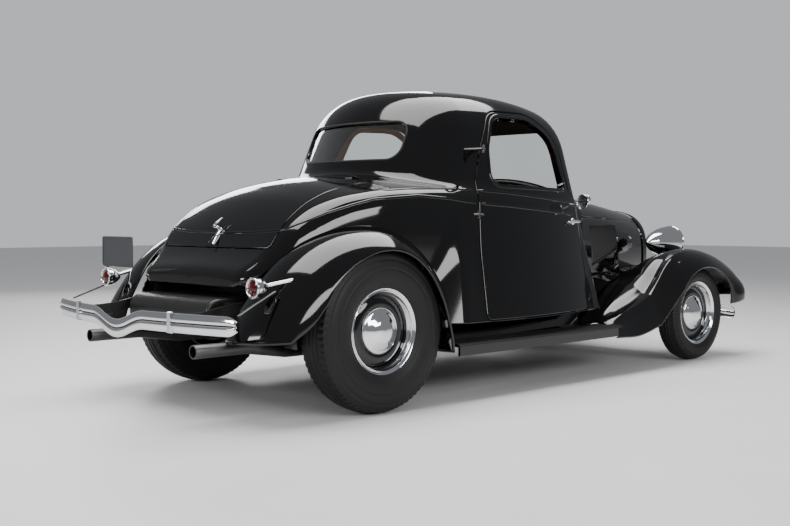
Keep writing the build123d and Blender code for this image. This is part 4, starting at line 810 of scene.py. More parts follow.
def make_finishes(paint):
    """Makes every finish, with the user's colours."""
    body = tuple(paint.body_colour)
    leather = tuple(paint.leather_colour)
    finishes.update({
        "paint": finish("gloss_body_paint", body, 0.07, grain=900, relief=0.015, relief_depth=0.0001, dust=paint.dust,
                        shift=0.1),
        "liner": finish("dark_headliner", (0.022, 0.018, 0.015), 0.9, grain=700, relief=0.5, relief_depth=0.001,
                        shift=0.3),
        "leather": finish("tan_leather", leather, 0.44, grain=330, relief=0.35, relief_depth=0.0008, shift=0.18,
                          pebble=0.35),
        "piping": finish("dark_tan_piping", tuple(c * 0.6 for c in leather), 0.5, grain=500, relief=0.3, shift=0.15),
        "chrome": finish("bright_chrome", (0.74, 0.75, 0.77), 0.055, metallic=1.0, grain=60, relief=0.006,
                         relief_depth=0.0004, dust=0.02, shift=0.02, rough_spread=0.5),
        "steel": finish("worn_steel", (0.085, 0.085, 0.088), 0.42, metallic=1.0, grain=240, relief=0.1, dust=0.25,
                        shift=0.2, stretch=(1.0, 6.0, 1.0)),
        "chassis": finish("chassis_paint", (0.006, 0.006, 0.006), 0.34, grain=260, relief=0.14, relief_depth=0.0008,
                          dust=0.03, shift=0.25),
        "iron": finish("cast_iron", (0.06, 0.06, 0.062), 0.6, metallic=0.5, grain=500, relief=0.6, relief_depth=0.001,
                       dust=0.2, shift=0.2),
        "tyre": finish("tyre_rubber", (0.0055, 0.0055, 0.0058), 0.50, grain=420, relief=0.22, relief_depth=0.0006,
                       dust=0.03, shift=0.3, Specular_IOR_Level=0.25),
        "rubber": finish("ribbed_mat_rubber", (0.006, 0.006, 0.006), 0.48, grain=520, relief=0.3, dust=0.03, shift=0.3,
                         Specular_IOR_Level=0.25),
        # Flat black painted as the shade in the bumper's groove and in the louvres' mouths; the window seals use it as
        # their real black rubber
        "gap": finish("painted_shade_and_seal_black", (0.003, 0.003, 0.003), 0.8, grain=300, relief=0.1, shift=0.2),
        "plate": finish("plain_plate_paint", (0.035, 0.038, 0.044), 0.4, grain=300, relief=0.05, dust=0.05, shift=0.1),
        "carpet": finish("floor_carpet", (0.045, 0.022, 0.012), 0.95, grain=900, relief=0.9, relief_depth=0.002,
                         shift=0.4),
        "bakelite": finish("wheel_rim_plastic", (0.012, 0.009, 0.007), 0.22, grain=200, relief=0.04, shift=0.2,
                           coat=0.5),
        "dial": finish("dial_face", (0.42, 0.38, 0.30), 0.5, grain=500, relief=0.05, shift=0.08),
        "glass": glass_finish("window_glass", (0.93, 0.97, 0.95), 0.0, 1.45),
        "lens": glass_finish("clear_lens_glass", (0.98, 0.98, 0.98), 0.01),
        "red_lens": glass_finish("red_lens_glass", tuple(paint.lens_colour), 0.06),
        "reflector": finish("silver_reflector", (0.86, 0.86, 0.86), 0.1, metallic=1.0, grain=80, relief=0.01),
    })


def dress(node, finish_name):
    """Gives a CAD node its finish."""
    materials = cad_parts[node].data.materials
    materials.clear()
    materials.append(finishes[finish_name])


def ride_as(obj, body, slot, *nodes):
    """Lets a piece ride a body in place of the CAD nodes it stands for, which are hidden. The slot is not used."""
    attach(obj, body)
    if nodes:
        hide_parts(*nodes)
    return obj


# The record's slot that a finish belongs to, unless a piece names another
finish_slots = {
    "paint": "black_paint", "chrome": "chrome", "reflector": "chrome", "chassis": "chassis_black", "steel": "steel",
    "tyre": "tyre_rubber", "lens": "glass", "red_lens": "red_glass", "piping": "tan_leather", "dial": "plate_grey",
    "plate": "plate_grey", "bakelite": "dark_plastic",
}
both_sides = ((1, "left"), (-1, "right"))


def tube(name, path, radii, finish_name, body, slot=None, **shape):
    """A swept tube that rides a body."""
    piece = sweep_tube(name, path, radii, [finishes[finish_name]], **shape)
    return ride_as(piece, body, slot or finish_slots[finish_name])


def turned(name, profile, centre, axis, finish_name, body, nodes=(), **shape):
    """A turned piece that rides a body and may stand for CAD nodes."""
    piece = lathe(name, profile, centre, axis, [finishes[finish_name]], **shape)
    return ride_as(piece, body, finish_slots[finish_name], *nodes)


def add_beads(name, lines, word, settings, body):
    """Raised mouldings along lines of the body's side."""
    for number, line in enumerate(lines):
        strip = strip_on_body("%s_%s_%d" % (name, word, number), line, word, settings.bead_width,
                              settings.bead_height, finishes["paint"])
        ride_as(strip, body, "black_paint")


# Panels of the body

# Width of a panel's rolled edge, and the rear wheel arch's radius and inner side
roll_inset = 0.004
arch_radius = 0.434
arch_inner = 0.585


def edge_pair(outline, view):
    """An outline on the body with a second one just inside it."""
    return lay(outline, view), lay(grow_outline(outline, -roll_inset), view)


def hole_pair(outline, view):
    """A hole's outline on the body with a second one just outside it."""
    return lay(outline, view), lay(grow_outline(outline, roll_inset), view)


def lid_outline(grow):
    """The deck lid's edge: across the front, down each side and across the bottom."""
    half = 0.455 + grow
    front = 0.235 + grow
    corner = 0.06
    cut = corner * 0.293
    bottom = 0.786 - grow
    low_edge = lay([(y, bottom) for y in np.linspace(half, -half, 64)], "back")
    left_low, right_low = low_edge[0][0], low_edge[-1][0]
    upper = [(left_low + 0.01, half)]
    upper += [(s, half) for s in np.linspace(left_low + 0.02, front - corner, 40)]
    upper += arc_points((front - corner, half), (front - cut, half - cut), (front, half - corner), 8)[1:]
    upper += [(front, y) for y in np.linspace(half - corner - 0.01, -half + corner + 0.01, 50)]
    upper += arc_points((front, corner - half), (front - cut, cut - half), (front - corner, -half), 8)
    upper += [(s, -half) for s in np.linspace(front - corner - 0.01, right_low + 0.01, 40)]
    return np.vstack([low_edge[1:-1][::-1], lay(upper, "top")])


def screen_outline(grow):
    """The windscreen's edge, with its foot bowed to follow the cowl."""
    low_half, high_half, high = 0.500 + grow, 0.462 + grow, 1.448 + grow
    foot_half, foot_bow = low_half - 0.035, 0.100
    foot = [(y, 1.172 - grow - foot_bow * (y / low_half) ** 2) for y in np.linspace(-foot_half, foot_half, 40)]
    side = [(low_half - 0.008, 1.100 - grow), (low_half, 1.130), (high_half, high - 0.055),
            (high_half - 0.016, high - 0.016), (high_half - 0.055, high)]
    return resample(foot + side + [(-y, z) for y, z in side[::-1]], 0.012)


def back_window_outline(grow):
    """The rear window's edge."""
    half, low, high = 0.395 + grow, 1.236 - grow, 1.444 + grow
    return rounded_outline([(half, low, 0.07), (half, high, 0.07), (-half, high, 0.07), (-half, low, 0.07)])


def shell_border(margin):
    """The body shell's own edge: both sills, the firewall's arch and the tail."""
    front = firewall - 0.002 - margin
    back = tail_station + 0.006 + margin
    stations = np.linspace(back, front, 190)
    rows = tub_curve(stations)
    reach = arch_radius + margin
    arch_over = rear_hub[2] + np.sqrt(np.clip(reach**2 - stations**2, 0, None))
    sill_z = np.where(np.abs(stations) < reach, np.maximum(rows[:, 0], arch_over), rows[:, 0]) + 0.001 + margin
    sill = np.column_stack([stations, rows[:, 1], sill_z])
    left = lay(sill[:, [0, 2]], "left")
    right = lay(sill[:, [0, 2]], "right")
    start = math.atan2(left[-1][2] - body_heart[2], left[-1][1])
    roll = np.linspace(start, math.pi - start, 110)[1:-1]
    arch_way = np.column_stack([np.zeros_like(roll), np.cos(roll), np.sin(roll)])
    arch_line = hit(body_value, np.tile((front, 0.0, body_heart[2]), (len(roll), 1)), arch_way, 1.2)
    tail = np.array([(back, y, left[0][2]) for y in np.linspace(right[0][1], left[0][1], 40)[1:-1]])
    tail = hit(body_value, tail * (0, 1, 1) + (0.5, 0, 0), np.tile((-1.0, 0.0, 0.0), (len(tail), 1)), 1.4)
    return np.vstack([left, arch_line, right[::-1], tail])


def build_cab(body):
    """The body shell in one panel, with holes for doors, lid and windows."""
    gap = body.panel_gap
    holes = [hole_pair(grow_outline(rounded_outline(door_outline), gap), view) for view in ("left", "right")]
    holes.append((lid_outline(gap), lid_outline(gap + roll_inset)))
    holes.append(hole_pair(screen_outline(0), "front"))
    holes.append(hole_pair(back_window_outline(0), "back"))
    edges = [shell_border(0)] + [h[0] for h in holes]
    insets = [shell_border(roll_inset)] + [h[1] for h in holes]
    return body_panel("cab_skin", edges, insets, [finishes["paint"], finishes["liner"]], body.panel_depth)


# Belt beads of the quarter and the door, as station and z
belt_beads = ([(0.745, 1.005), (0.560, 1.026), (0.344, 1.039), (0.074, 1.018), (-0.054, 0.987), (-0.178, 0.949),
               (-0.298, 0.898), (-0.380, 0.853), (-0.450, 0.806)],
              [(0.745, 1.075), (0.560, 1.081), (0.344, 1.076), (0.140, 1.062)])
door_beads = ([(0.775, 1.003), (1.000, 0.992), (1.300, 0.972), (1.655, 0.946)],
              [(0.775, 1.074), (1.000, 1.064), (1.300, 1.044), (1.665, 1.016)])


def wheelhouse(name, side):
    """The liner over a rear wheel: an arch and its inner wall."""
    radii = [arch_radius + 0.002, arch_radius + 0.002, arch_radius - 0.012, 0.300, 0.170]
    across = [0.690, arch_inner + 0.012, arch_inner, arch_inner - 0.001, arch_inner - 0.001]
    points = []
    turns = np.linspace(-8, 188, 50)
    for turn in np.radians(turns):
        for y, r in zip(across, radii):
            points.append((rear_hub[0] + r * math.cos(turn), side * y, rear_hub[2] + r * math.sin(turn)))
    return add_piece(name, points, grid_faces(len(turns), len(across), flip=side > 0), [finishes["chassis"]])


def firewall_face():
    """The flat wall that closes the cowl's front."""
    heart, low_turn, shrink, setback = 0.66, 0.42, 0.985, 0.006
    z_bottom = tub_curve(np.array([firewall]))[0][0]
    roll = np.linspace(-low_turn, math.pi + low_turn, 90)
    way = np.column_stack([np.zeros_like(roll), np.cos(roll), np.sin(roll)])
    rim = hit(body_value, np.tile((firewall - 0.010, 0.0, heart), (len(roll), 1)), way, 0.9)
    rim[:, 1:] = (rim[:, 1:] - (0, heart)) * shrink + (0, heart)
    rim[:, 2] = np.maximum(rim[:, 2], z_bottom + 0.002)
    rim[:, 0] = firewall - setback
    points = np.vstack([rim, [(firewall - setback, 0.0, heart)]])
    last = len(rim)
    faces = [(i, i + 1, last) for i in range(last - 1)] + [(last - 1, 0, last)]
    return place(points), faces


class COUPE_OT_body(bpy.types.Operator):
    """Builds the body shell with its belt mouldings"""
    bl_idname = "coupe.body"
    bl_label = "Body shell"

    def execute(self, context):
        make_finishes(context.scene.coupe_paint)
        body = context.scene.coupe_body
        ride_as(build_cab(body), "chassis", "black_paint", "cab_shell")
        for side, word in both_sides:
            add_beads("belt_bead", belt_beads, word, body, "chassis")
            ride_as(wheelhouse("wheelhouse_" + word, side), "chassis", "chassis_black")
        ride_as(add_piece("firewall_wall", *firewall_face(), [finishes["paint"]]), "chassis", "black_paint")
        return {"FINISHED"}


# Line of the door hinges, low end then high end, and the hinges' heights
hinge_line = ((0.713, 0.723, 0.569), (0.801, 0.702, 1.300))
hinge_heights = (0.569, 0.945, 1.290)
# Half length of a hinge's barrel and of its straight part, and its arms' reach
barrel_half, barrel_straight, hinge_reach = 0.022, 0.0205, 0.030
# Station and height of the door handle's root and of the mirror's
handle_root, mirror_root = (1.640, 0.907), (1.640, 1.006)


def closed_bead(name, outline, view, width=0.013, height=0.0045):
    """A closed raised bead round a window."""
    where = lay(outline, view)
    normal = surface_normal(body_value, where)
    along = np.roll(where, -1, axis=0) - np.roll(where, 1, axis=0)
    along /= np.linalg.norm(along, axis=1)[:, None]
    across = np.cross(normal, along)
    count = 7
    points = []
    for i in range(len(where)):
        for k in range(count):
            turn = math.pi * k / (count - 1)
            points.append(where[i] - across[i] * math.cos(turn) * width / 2
                          + normal[i] * (math.sin(turn) * height - 0.001))
    faces = []
    for i in range(len(where)):
        base, after = i * count, (i + 1) % len(where) * count
        faces += [(base + k, after + k, after + k + 1, base + k + 1) for k in range(count - 1)]
    return add_piece(name, place(np.array(points)), faces, [finishes["paint"]])


class COUPE_OT_doors(bpy.types.Operator):
    """Builds both doors, with their windows cut out"""
    bl_idname = "coupe.doors"
    bl_label = "Doors"

    def execute(self, context):
        body = context.scene.coupe_body
        window = rounded_outline(window_outline)
        for side, word in both_sides:
            door = "door_%s_body" % word
            edge, edge_in = edge_pair(rounded_outline(door_outline), word)
            hole, hole_in = hole_pair(window, word)
            skin = body_panel("door_skin_" + word, [edge, hole], [edge_in, hole_in],
                              [finishes["paint"], finishes["leather"]], body.panel_depth)
            ride_as(skin, door, "black_paint", "door_" + word)
            ride_as(closed_bead("window_bead_" + word, grow_outline(window, 0.016), word), door, "black_paint")
            add_beads("door_bead", door_beads, word, body, door)
            self.hang(side, word, door)
            self.fit(side, word, door)
        return {"FINISHED"}

    def hang(self, side, word, door):
        """Three hinges: a barrel and a lug on the body, an arm on the door."""
        low, high = hinge_line
        for number, z in enumerate(hinge_heights):
            share = (z - low[2]) / (high[2] - low[2])
            pin = np.array([low[0] + (high[0] - low[0]) * share, side * (low[1] + (high[1] - low[1]) * share), z])
            up = np.array([high[0] - low[0], side * (high[1] - low[1]), high[2] - low[2]])
            up /= np.linalg.norm(up)
            barrel = [pin + up * reach for reach in (-barrel_half, -barrel_straight, barrel_straight, barrel_half)]
            tube("hinge_barrel_%s_%d" % (word, number), place(np.array(barrel)), (0.006, 0.0098, 0.0098, 0.006),
                 "chassis", "chassis", slot="black_paint", up=(1, 0, 0))
            for part, body, way in (("arm", door, 1), ("lug", "chassis", -1)):
                foot = lay([(pin[0] + way * hinge_reach, pin[2])], word)[0]
                path = [pin + (way * 0.003, 0, 0), pin * 0.4 + foot * 0.6 + (0, side * 0.004, 0),
                        foot - (0, side * 0.010, 0)]
                tube("hinge_%s_%s_%d" % (part, word, number), place(np.array(path)), (0.0075, 0.008, 0.009),
                     "chassis", body, slot="black_paint", sides=8, flat=1.7, up=(0, 1, 0))

    def fit(self, side, word, door):
        """The handle and the round mirror."""
        out = np.array([0, side, 0])
        rose = [(-0.006, 0.020), (0.002, 0.020), (0.006, 0.018), (0.009, 0.012), (0.010, 0.010), (0.034, 0.0085),
                (0.036, 0.0002)]
        centre = place(lay([handle_root], word))[0]
        turned("door_handle_rose_" + word, rose, centre, (0, side, 0), "chrome", door,
               ("door_fittings_" + word,), steps=48)
        grip = [centre + out * 0.036 + (x, 0, 0) for x in (0.026, 0.018, 0.000, -0.030, -0.062, -0.084, -0.092)]
        tube("door_handle_grip_" + word, grip, (0.004, 0.0095, 0.0105, 0.0095, 0.0075, 0.004, 0.0012), "chrome", door)
        mirror = np.array([rear_axle_x + mirror_root[0], side * 0.725, 1.024])
        stem_root = place(lay([mirror_root], word))[0]
        stem = [stem_root - out * 0.005, stem_root * 0.5 + mirror * 0.5 - (0, 0, 0.012), mirror + (0.006, 0, -0.006)]
        tube("mirror_stem_" + word, stem, (0.0085, 0.0055, 0.005), "chrome", door, up=(1, 0, 0))
        bowl = [(0.011, 0.0004), (0.010, 0.016), (0.006, 0.030), (-0.002, 0.0395), (-0.008, 0.0415),
                (-0.0105, 0.0405), (-0.0095, 0.038), (-0.008, 0.0375), (-0.0078, 0.0002)]
        turned("mirror_" + word, bowl, mirror, (1, 0, 0), "chrome", door, steps=64)


# Station of the deck lid's hinge line, and how far out its hinges sit
lid_hinge_station, lid_hinge_y = 0.2375, 0.300


class COUPE_OT_deck_lid(bpy.types.Operator):
    """Builds the deck lid with its handle and strap hinges"""
    bl_idname = "coupe.deck_lid"
    bl_label = "Deck lid"

    def execute(self, context):
        body = context.scene.coupe_body
        lid = body_panel("deck_lid_skin", [lid_outline(0)], [lid_outline(-roll_inset)],
                         [finishes["paint"], finishes["liner"]], body.panel_depth)
        ride_as(lid, "deck_lid_body", "black_paint", "deck_lid")
        self.fit_handle()
        for side, word in both_sides:
            y = side * lid_hinge_y
            crown = lay([(lid_hinge_station, y)], "top")[0]
            knuckle = [crown + (0, along, 0.006) for along in (-0.030, -0.028, 0.028, 0.030)]
            tube("lid_hinge_barrel_" + word, place(np.array(knuckle)), (0.004, 0.0075, 0.0075, 0.004), "paint",
                 "chassis")
            for part, rides, way in (("strap", "deck_lid_body", -1), ("leaf", "chassis", 1)):
                strap = lay([(lid_hinge_station + way * reach, y) for reach in (0.006, 0.030, 0.055)], "top")
                tube("lid_hinge_%s_%s" % (part, word), place(strap + (0, 0, 0.001)), (0.013, 0.012, 0.007), "paint",
                     rides, flat=0.22)
        return {"FINISHED"}

    def fit_handle(self):
        """The lid's handle: a plate, a stem and a lever bent up."""
        foot, top = lay([(0.0, 0.795), (0.0, 0.872)], "back")
        facing = surface_normal(body_value, np.array([foot]))[0]
        rise = (top - foot) / np.linalg.norm(top - foot)
        plate = [foot, foot * 0.5 + top * 0.5 + facing * 0.003, top]
        plate = place(np.array([p + facing * 0.003 for p in plate]))
        tube("lid_handle_plate", plate, (0.009, 0.011, 0.012), "chrome", "deck_lid_body", flat=0.6, up=(0, 1, 0))
        middle = place(np.array([top - (0, 0, 0.010)]))[0]
        stem = [middle, middle + facing * 0.020, middle + facing * 0.032]
        tube("lid_handle_stem", stem, (0.010, 0.008, 0.008), "chrome", "deck_lid_body", up=(0, 1, 0))
        lever = [(-0.010, -0.002), (-0.006, -0.001), (0.016, 0.000), (0.029, 0.003), (0.030, 0.014), (0.012, 0.038),
                 (-0.004, 0.058)]
        lever = [middle + facing * 0.034 + (0, y, 0) + rise * along for y, along in lever]
        tube("lid_handle_bar", lever, (0.003, 0.007, 0.0075, 0.0085, 0.0075, 0.0065, 0.0035), "chrome",
             "deck_lid_body", up=(1, 0, 0))


def glass_pane(name, outline, view):
    """A window pane, set in behind the body's skin."""
    edge = lay(grow_outline(outline, 0.006), view)
    inset = lay(grow_outline(outline, 0.002), view)
    return body_panel(name, [edge], [inset], [finishes["glass"], finishes["glass"]], 0.005, drop=0.012,
                      lean_step=2.0, roll_step=3.0, roll_edge=0.0003)


class COUPE_OT_glass(bpy.types.Operator):
    """Builds the windscreen and the rear window with their rubber seals"""
    bl_idname = "coupe.glass"
    bl_label = "Glass"

    def execute(self, context):
        ride_as(glass_pane("windscreen_glass", screen_outline(0), "front"), "chassis", "glass", "windscreen")
        ride_as(glass_pane("rear_glass", back_window_outline(0), "back"), "chassis", "glass", "rear_window")
        seals = (("windscreen_seal", screen_outline(0), "front"), ("rear_seal", back_window_outline(0), "back"))
        for name, outline, view in seals:
            seal = closed_bead(name, outline, view, 0.012, 0.0035)
            seal.data.materials[0] = finishes["gap"]
            ride_as(seal, "chassis", "board_rubber")
        return {"FINISHED"}


# Hood and radiator

# Times that a leaf is laid again until its front edge has the radiator's lean
lean_rounds = 4


def hood_sheet(name, side, roll_low, roll_high, start, end, columns, rows, relief=None, shade_slots=None):
    """One leaf of the hood as a grid from the cowl to the radiator."""
    shares = np.linspace(0, 1, columns)
    station = np.tile(np.linspace(start, hood_last, columns)[:, None], (1, rows))
    for _ in range(lean_rounds):
        low = roll_low(station[:, 0])
        high = roll_high(station[:, 0])
        roll = low[:, None] + (high - low)[:, None] * np.linspace(0, 1, rows)[None, :]
        way = np.stack([np.zeros_like(roll), np.cos(roll), np.sin(roll)], axis=-1).reshape(-1, 3)
        origin = np.stack([station, 0 * station, 0 * station + hood_heart], axis=-1).reshape(-1, 3)
        points = hit(hood_value, origin, way, 0.8).reshape(columns, rows, 3)
        front = hood_front[0] - end - (points[:, :, 2] - hood_front[1]) * hood_lean
        station = start + (front - start) * shares[:, None]
    flat = points.reshape(-1, 3)
    if relief is not None:
        flat = flat + surface_normal(hood_value, flat) * relief(flat)[:, None]
    faces = grid_faces(columns, rows, flip=side < 0)
    # Faces in the louvres' mouths take the second finish, black painted as the shade in the slots
    marks = None
    if shade_slots is not None:
        marks = shade_slots(flat[np.array(faces)].mean(axis=1)).astype(int)
    flat = flat * (1, side, 1)
    return add_piece(name, place(flat), faces, [finishes["paint"], finishes["gap"]], marks)


# Louvres: stations of the first and the last, height and rise of their feet, height and lean of their heads,
# the share of each that stands out, and the share past which its mouth is painted black as shade
louvre_first, louvre_last = 1.981, 2.408
louvre_foot, louvre_rise = 0.639, 0.085
louvre_head, louvre_lean = 0.880, 0.224
louvre_ramp, louvre_shade_from = 0.82, 0.62


def hood_roll(height):
    """The turn about the hood's middle at which its side has a height."""
    def roll(station):
        z = height(station)
        where = np.column_stack([station, np.zeros_like(station), z])
        side = hit(hood_value, where, np.tile((0.0, 1.0, 0.0), (len(where), 1)), 0.8)
        return np.arctan2(side[:, 2] - hood_heart, side[:, 1])
    return roll


def seam_height(station):
    """Height of the seam between the hood's top and side."""
    share = (station - firewall) / (hood_end - firewall)
    return hood_seam[0] + (hood_seam[1] - hood_seam[0]) * share


def louvre_share(where):
    """How far along the row of louvres each point lies, from 0 to 1."""
    row = where[:, 0] + (where[:, 2] - louvre_head) * louvre_lean
    return (row - louvre_first) / (louvre_last - louvre_first)


def louvre_shade_slots(hood):
    """Which faces lie in the mouth behind each louvre, painted black as the shade in its slot."""
    def shade_slots(where):
        share = louvre_share(where)
        z = where[:, 2]
        pitch = (share * hood.louvres) % 1.0
        low = louvre_foot + share * louvre_rise
        return (share > 0) & (share < 1) & (pitch > louvre_shade_from) & (z > low + 0.010) & (z < louvre_head - 0.004)
    return shade_slots


def louvre_relief(hood):
    """How far the hood's side stands out at each point."""
    def relief(where):
        z = where[:, 2]
        share = louvre_share(where)
        pitch = (share * hood.louvres) % 1.0
        saw = np.where(pitch < louvre_ramp, (pitch / louvre_ramp) ** 1.2, (1 - pitch) / 0.18)
        low = louvre_foot + share * louvre_rise
        fade = np.clip((z - low) / 0.018, 0, 1) * np.clip((louvre_head + 0.004 - z) / 0.018, 0, 1)
        fade = np.sqrt(np.clip(fade * (2 - fade), 0, 1))
        return np.where((share > 0) & (share < 1), saw * fade * hood.louvre_height, 0)
    return relief


def radiator_surround():
    """The radiator shell: it carries the hood's section forward and rolls in at its face."""
    low = hood_roll(lambda s: hood_curve(s)[:, 0] - 0.060)(np.array([hood_front[0]]))[0]
    rolls = np.linspace(low, math.pi - low, 120)
    way = np.column_stack([0 * rolls, np.cos(rolls), np.sin(rolls)])
    edge = np.column_stack([0 * rolls + 2.90, 0 * rolls, 0 * rolls])
    for _ in range(lean_rounds):
        edge = hit(hood_value, np.column_stack([edge[:, 0], 0 * rolls, 0 * rolls + hood_heart]), way, 0.8)
        edge[:, 0] = hood_front[0] - (edge[:, 2] - hood_front[1]) * hood_lean
    points = []
    for ahead, inset in ((-0.012, 0.010), (-0.0025, 0.006), (-0.0015, 0.0), (0.030, 0.0), (0.058, 0.002),
                         (0.072, 0.007), (0.082, 0.016), (0.085, 0.028), (0.080, 0.036), (0.060, 0.037)):
        shift = edge + (ahead, 0, ahead * hood_lean * 0.2)
        shift[:, 1:] -= way[:, 1:] * inset
        points.append(shift)
    faces = grid_faces(len(points), len(rolls))
    shell = add_piece("radiator_surround", place(np.vstack(points)), faces, [finishes["paint"]])
    thicken(shell, 0.003)
    return shell


class COUPE_OT_hood(bpy.types.Operator):
    """Builds the hood's tops and louvred sides"""
    bl_idname = "coupe.hood"
    bl_label = "Hood"

    def execute(self, context):
        hood = context.scene.coupe_hood
        half_gap, front_gap, rows = 0.0025, 0.004, 44
        top_low = hood_roll(lambda s: seam_height(s) + half_gap)
        side_low = hood_roll(lambda s: hood_curve(s)[:, 0] + 0.002)
        side_high = hood_roll(lambda s: seam_height(s) - half_gap)
        for side, word in both_sides:
            top = hood_sheet("hood_top_skin_" + word, side, top_low, lambda s: np.full_like(s, math.pi / 2 - 0.012),
                             firewall + 0.005, front_gap, 120, rows)
            thicken(top, 0.008)
            ride_as(top, "hood_%s_body" % word, "black_paint", "hood_top_" + word)
            leaf = hood_sheet("hood_side_skin_" + word, side, side_low, side_high, firewall + 0.004, front_gap,
                              460, rows, louvre_relief(hood), louvre_shade_slots(hood))
            thicken(leaf, 0.006)
            ride_as(leaf, "chassis", "black_paint", "hood_side_" + word)
        ride_as(radiator_surround(), "chassis", "black_paint", "radiator_shell")
        return {"FINISHED"}


# Fenders

def fender_ring(row, samples):
    """One section of a fender as points of (y, out): strip, arc and rolled lip."""
    y_in, out_in, y_crown, out_crown, y_lip, out_lip = row[-6:]
    points = []
    if len(row) == 8:
        root, count = row[:2], 8
        points += [(root[0] + (y_in - root[0]) * i / count, root[1] + (out_in - root[1]) * i / count)
                   for i in range(count)]
    points += arc_points((y_in, out_in), (y_crown, out_crown), (y_lip, out_lip), samples)
    points += [(y_lip + 0.0005, out_lip - 0.005), (y_lip - 0.003, out_lip - 0.010), (y_lip - 0.010, out_lip - 0.011),
               (y_lip - 0.015, out_lip - 0.007)]
    return points


def crease(ring, station):
    """Raises the ridge of a front fender, with the valley beside it."""
    t = np.clip((station - 1.84) / 0.16, 0, 1)
    u = np.clip((station - 2.52) / 0.30, 0, 1)
    amount = t * t * (3 - 2 * t) * (1 - u * u * (3 - 2 * u))
    ridge = 0.762 - 0.055 * np.clip((station - 2.3) / 0.42, 0, 1)
    shaped = []
    for y, out in ring:
        peak = max(0.0, 1 - abs(y - ridge) / (0.052 if y < ridge else 0.030)) ** 1.5 * 0.022
        valley = math.exp(-((y - ridge + 0.062) / 0.030) ** 2) * 0.012
        shaped.append((y, out + amount * (peak - valley)))
    return shaped


def splash_apron(name, side, roots):
    """The upright panel from a front fender's inner edge up to the hood's sill."""
    points, steps = [], 8
    for x, y, z in roots:
        station = x - rear_axle_x
        if station > hood_last:
            break
        z_sill, w_sill = hood_curve(np.array([max(station, firewall + 0.002)]))[0][:2]
        top = np.array((x, side * (w_sill - 0.012), max(z_sill + 0.014, z + 0.002)))
        points += [np.array((x, y, z)) * (1 - t) + top * t for t in np.linspace(0, 1, steps)]
    apron = add_piece(name, points, grid_faces(len(points) // steps, steps, flip=side < 0), [finishes["paint"]])
    thicken(apron, 0.003)
    return apron


def round_wheel(angle, ring, hub, side):
    """A fender's section stood up at an angle about its wheel."""
    turn = math.radians(angle)
    return [(hub[0] + out * math.cos(turn), side * y, hub[2] + out * math.sin(turn)) for y, out in ring]


def fender_skin(name, side, rings):
    """A fender's sheet through its sections, held inside the CAD box."""
    points = np.array(rings)
    rows, columns = points.shape[:2]
    widest = cad_bounds[1][1] - 0.0002
    points[:, :, 1] = np.clip(points[:, :, 1], -widest, widest)
    obj = add_piece(name, points.reshape(-1, 3), grid_faces(rows, columns, flip=side > 0), [finishes["paint"]])
    thicken(obj, 0.007)
    return obj


class COUPE_OT_fenders(bpy.types.Operator):
    """Builds the four fenders with rolled lips"""
    bl_idname = "coupe.fenders"
    bl_label = "Fenders"

    def execute(self, context):
        rear_turns = np.concatenate([np.arange(-17, 176, 1.5), np.arange(176, 182.1, 1.0)])
        rear = table_curve(rear_fender_rows)(rear_turns)
        sweep_at = np.linspace(1.832, 2.290, 36)
        sweep = table_curve(front_sweep_rows)(sweep_at)
        front_turns = np.arange(150, 8.9, -1.5)
        ahead = table_curve(front_fender_rows[::-1])(front_turns)
        for side, word in both_sides:
            rings = [round_wheel(a, fender_ring(row, 30), rear_hub, side) for a, row in zip(rear_turns, rear)]
            ride_as(fender_skin("rear_fender_skin_" + word, -side, rings), "chassis", "black_paint",
                    "rear_fender_" + word)
            rings = [[(s + rear_axle_x, side * y, z) for y, z in crease(fender_ring(row, 60), s)]
                     for s, row in zip(sweep_at, sweep)]
            for a, row in zip(front_turns, ahead):
                station = wheelbase + 0.45 * math.cos(math.radians(a))
                rings.append(round_wheel(a, crease(fender_ring(row, 60), station), front_hub, side))
            ride_as(fender_skin("front_fender_skin_" + word, side, rings), "chassis", "black_paint",
                    "front_fender_" + word)
            apron = splash_apron("splash_apron_" + word, side, [ring[0] for ring in rings])
            ride_as(apron, "chassis", "black_paint")
        return {"FINISHED"}


class COUPE_OT_boards(bpy.types.Operator):
    """Builds the ribbed rubber mats of the running boards"""
    bl_idname = "coupe.boards"
    bl_label = "Running boards"

    def execute(self, context):
        dress("running_boards", "paint")
        start, end = rear_axle_x + 0.470, rear_axle_x + 1.870
        inner, outer, ribs = 0.672, 0.838, 15
        mat_z, rib_z = 0.2945, 0.2985
        across = [(inner, mat_z)]
        for i in range(ribs):
            base = inner + (outer - inner) * (i + 0.5) / ribs
            across += [(base - 0.0045, mat_z), (base - 0.0035, rib_z), (base + 0.0035, rib_z), (base + 0.0045, mat_z)]
        across += [(outer + 0.001, mat_z), (0.8425, 0.291), (0.8425, 0.285)]
        stations = np.linspace(start, end, 40)
        for side, word in both_sides:
            points = [(x, side * y, z) for x in stations for y, z in across]
            mat = add_piece("board_mat_" + word, points, grid_faces(len(stations), len(across), flip=side > 0),
                            [finishes["rubber"]], sharp=35)
            ride_as(mat, "chassis", "board_rubber")
        return {"FINISHED"}


# Wheels and tyres

# Rings cut in the sidewall: place from bead to shoulder, half width, depth
sidewall_rings = ((0.10, 0.020, 0.0016), (0.19, 0.020, 0.0016), (0.55, 0.018, 0.0022), (0.80, 0.030, 0.0030))


def ring_cut(y, r, share):
    """Moves a point of the sidewall in where a ring is cut."""
    depth = sum(deep * math.exp(-((share - at) / wide) ** 2) for at, wide, deep in sidewall_rings)
    return (y - depth, r)


def tread_profile(radius, half, bead):
    """Half section points of the tyre from the inner bead to the outer one."""
    shoulder = radius - 0.014
    middle = (bead + radius) / 2 + 0.010
    wall = arc_points((half * 0.80, shoulder), (half, middle), (half * 0.72, bead), 38)
    wall = wall[:1] + [ring_cut(y, r, (r - bead) / (shoulder - bead)) for y, r in wall[1:-1]] + wall[-1:]
    crown = arc_points((-half * 0.80, shoulder), (0, radius), (half * 0.80, shoulder), 20)
    return [(-y, r) for y, r in wall[::-1]][:-1] + crown + wall[1:]


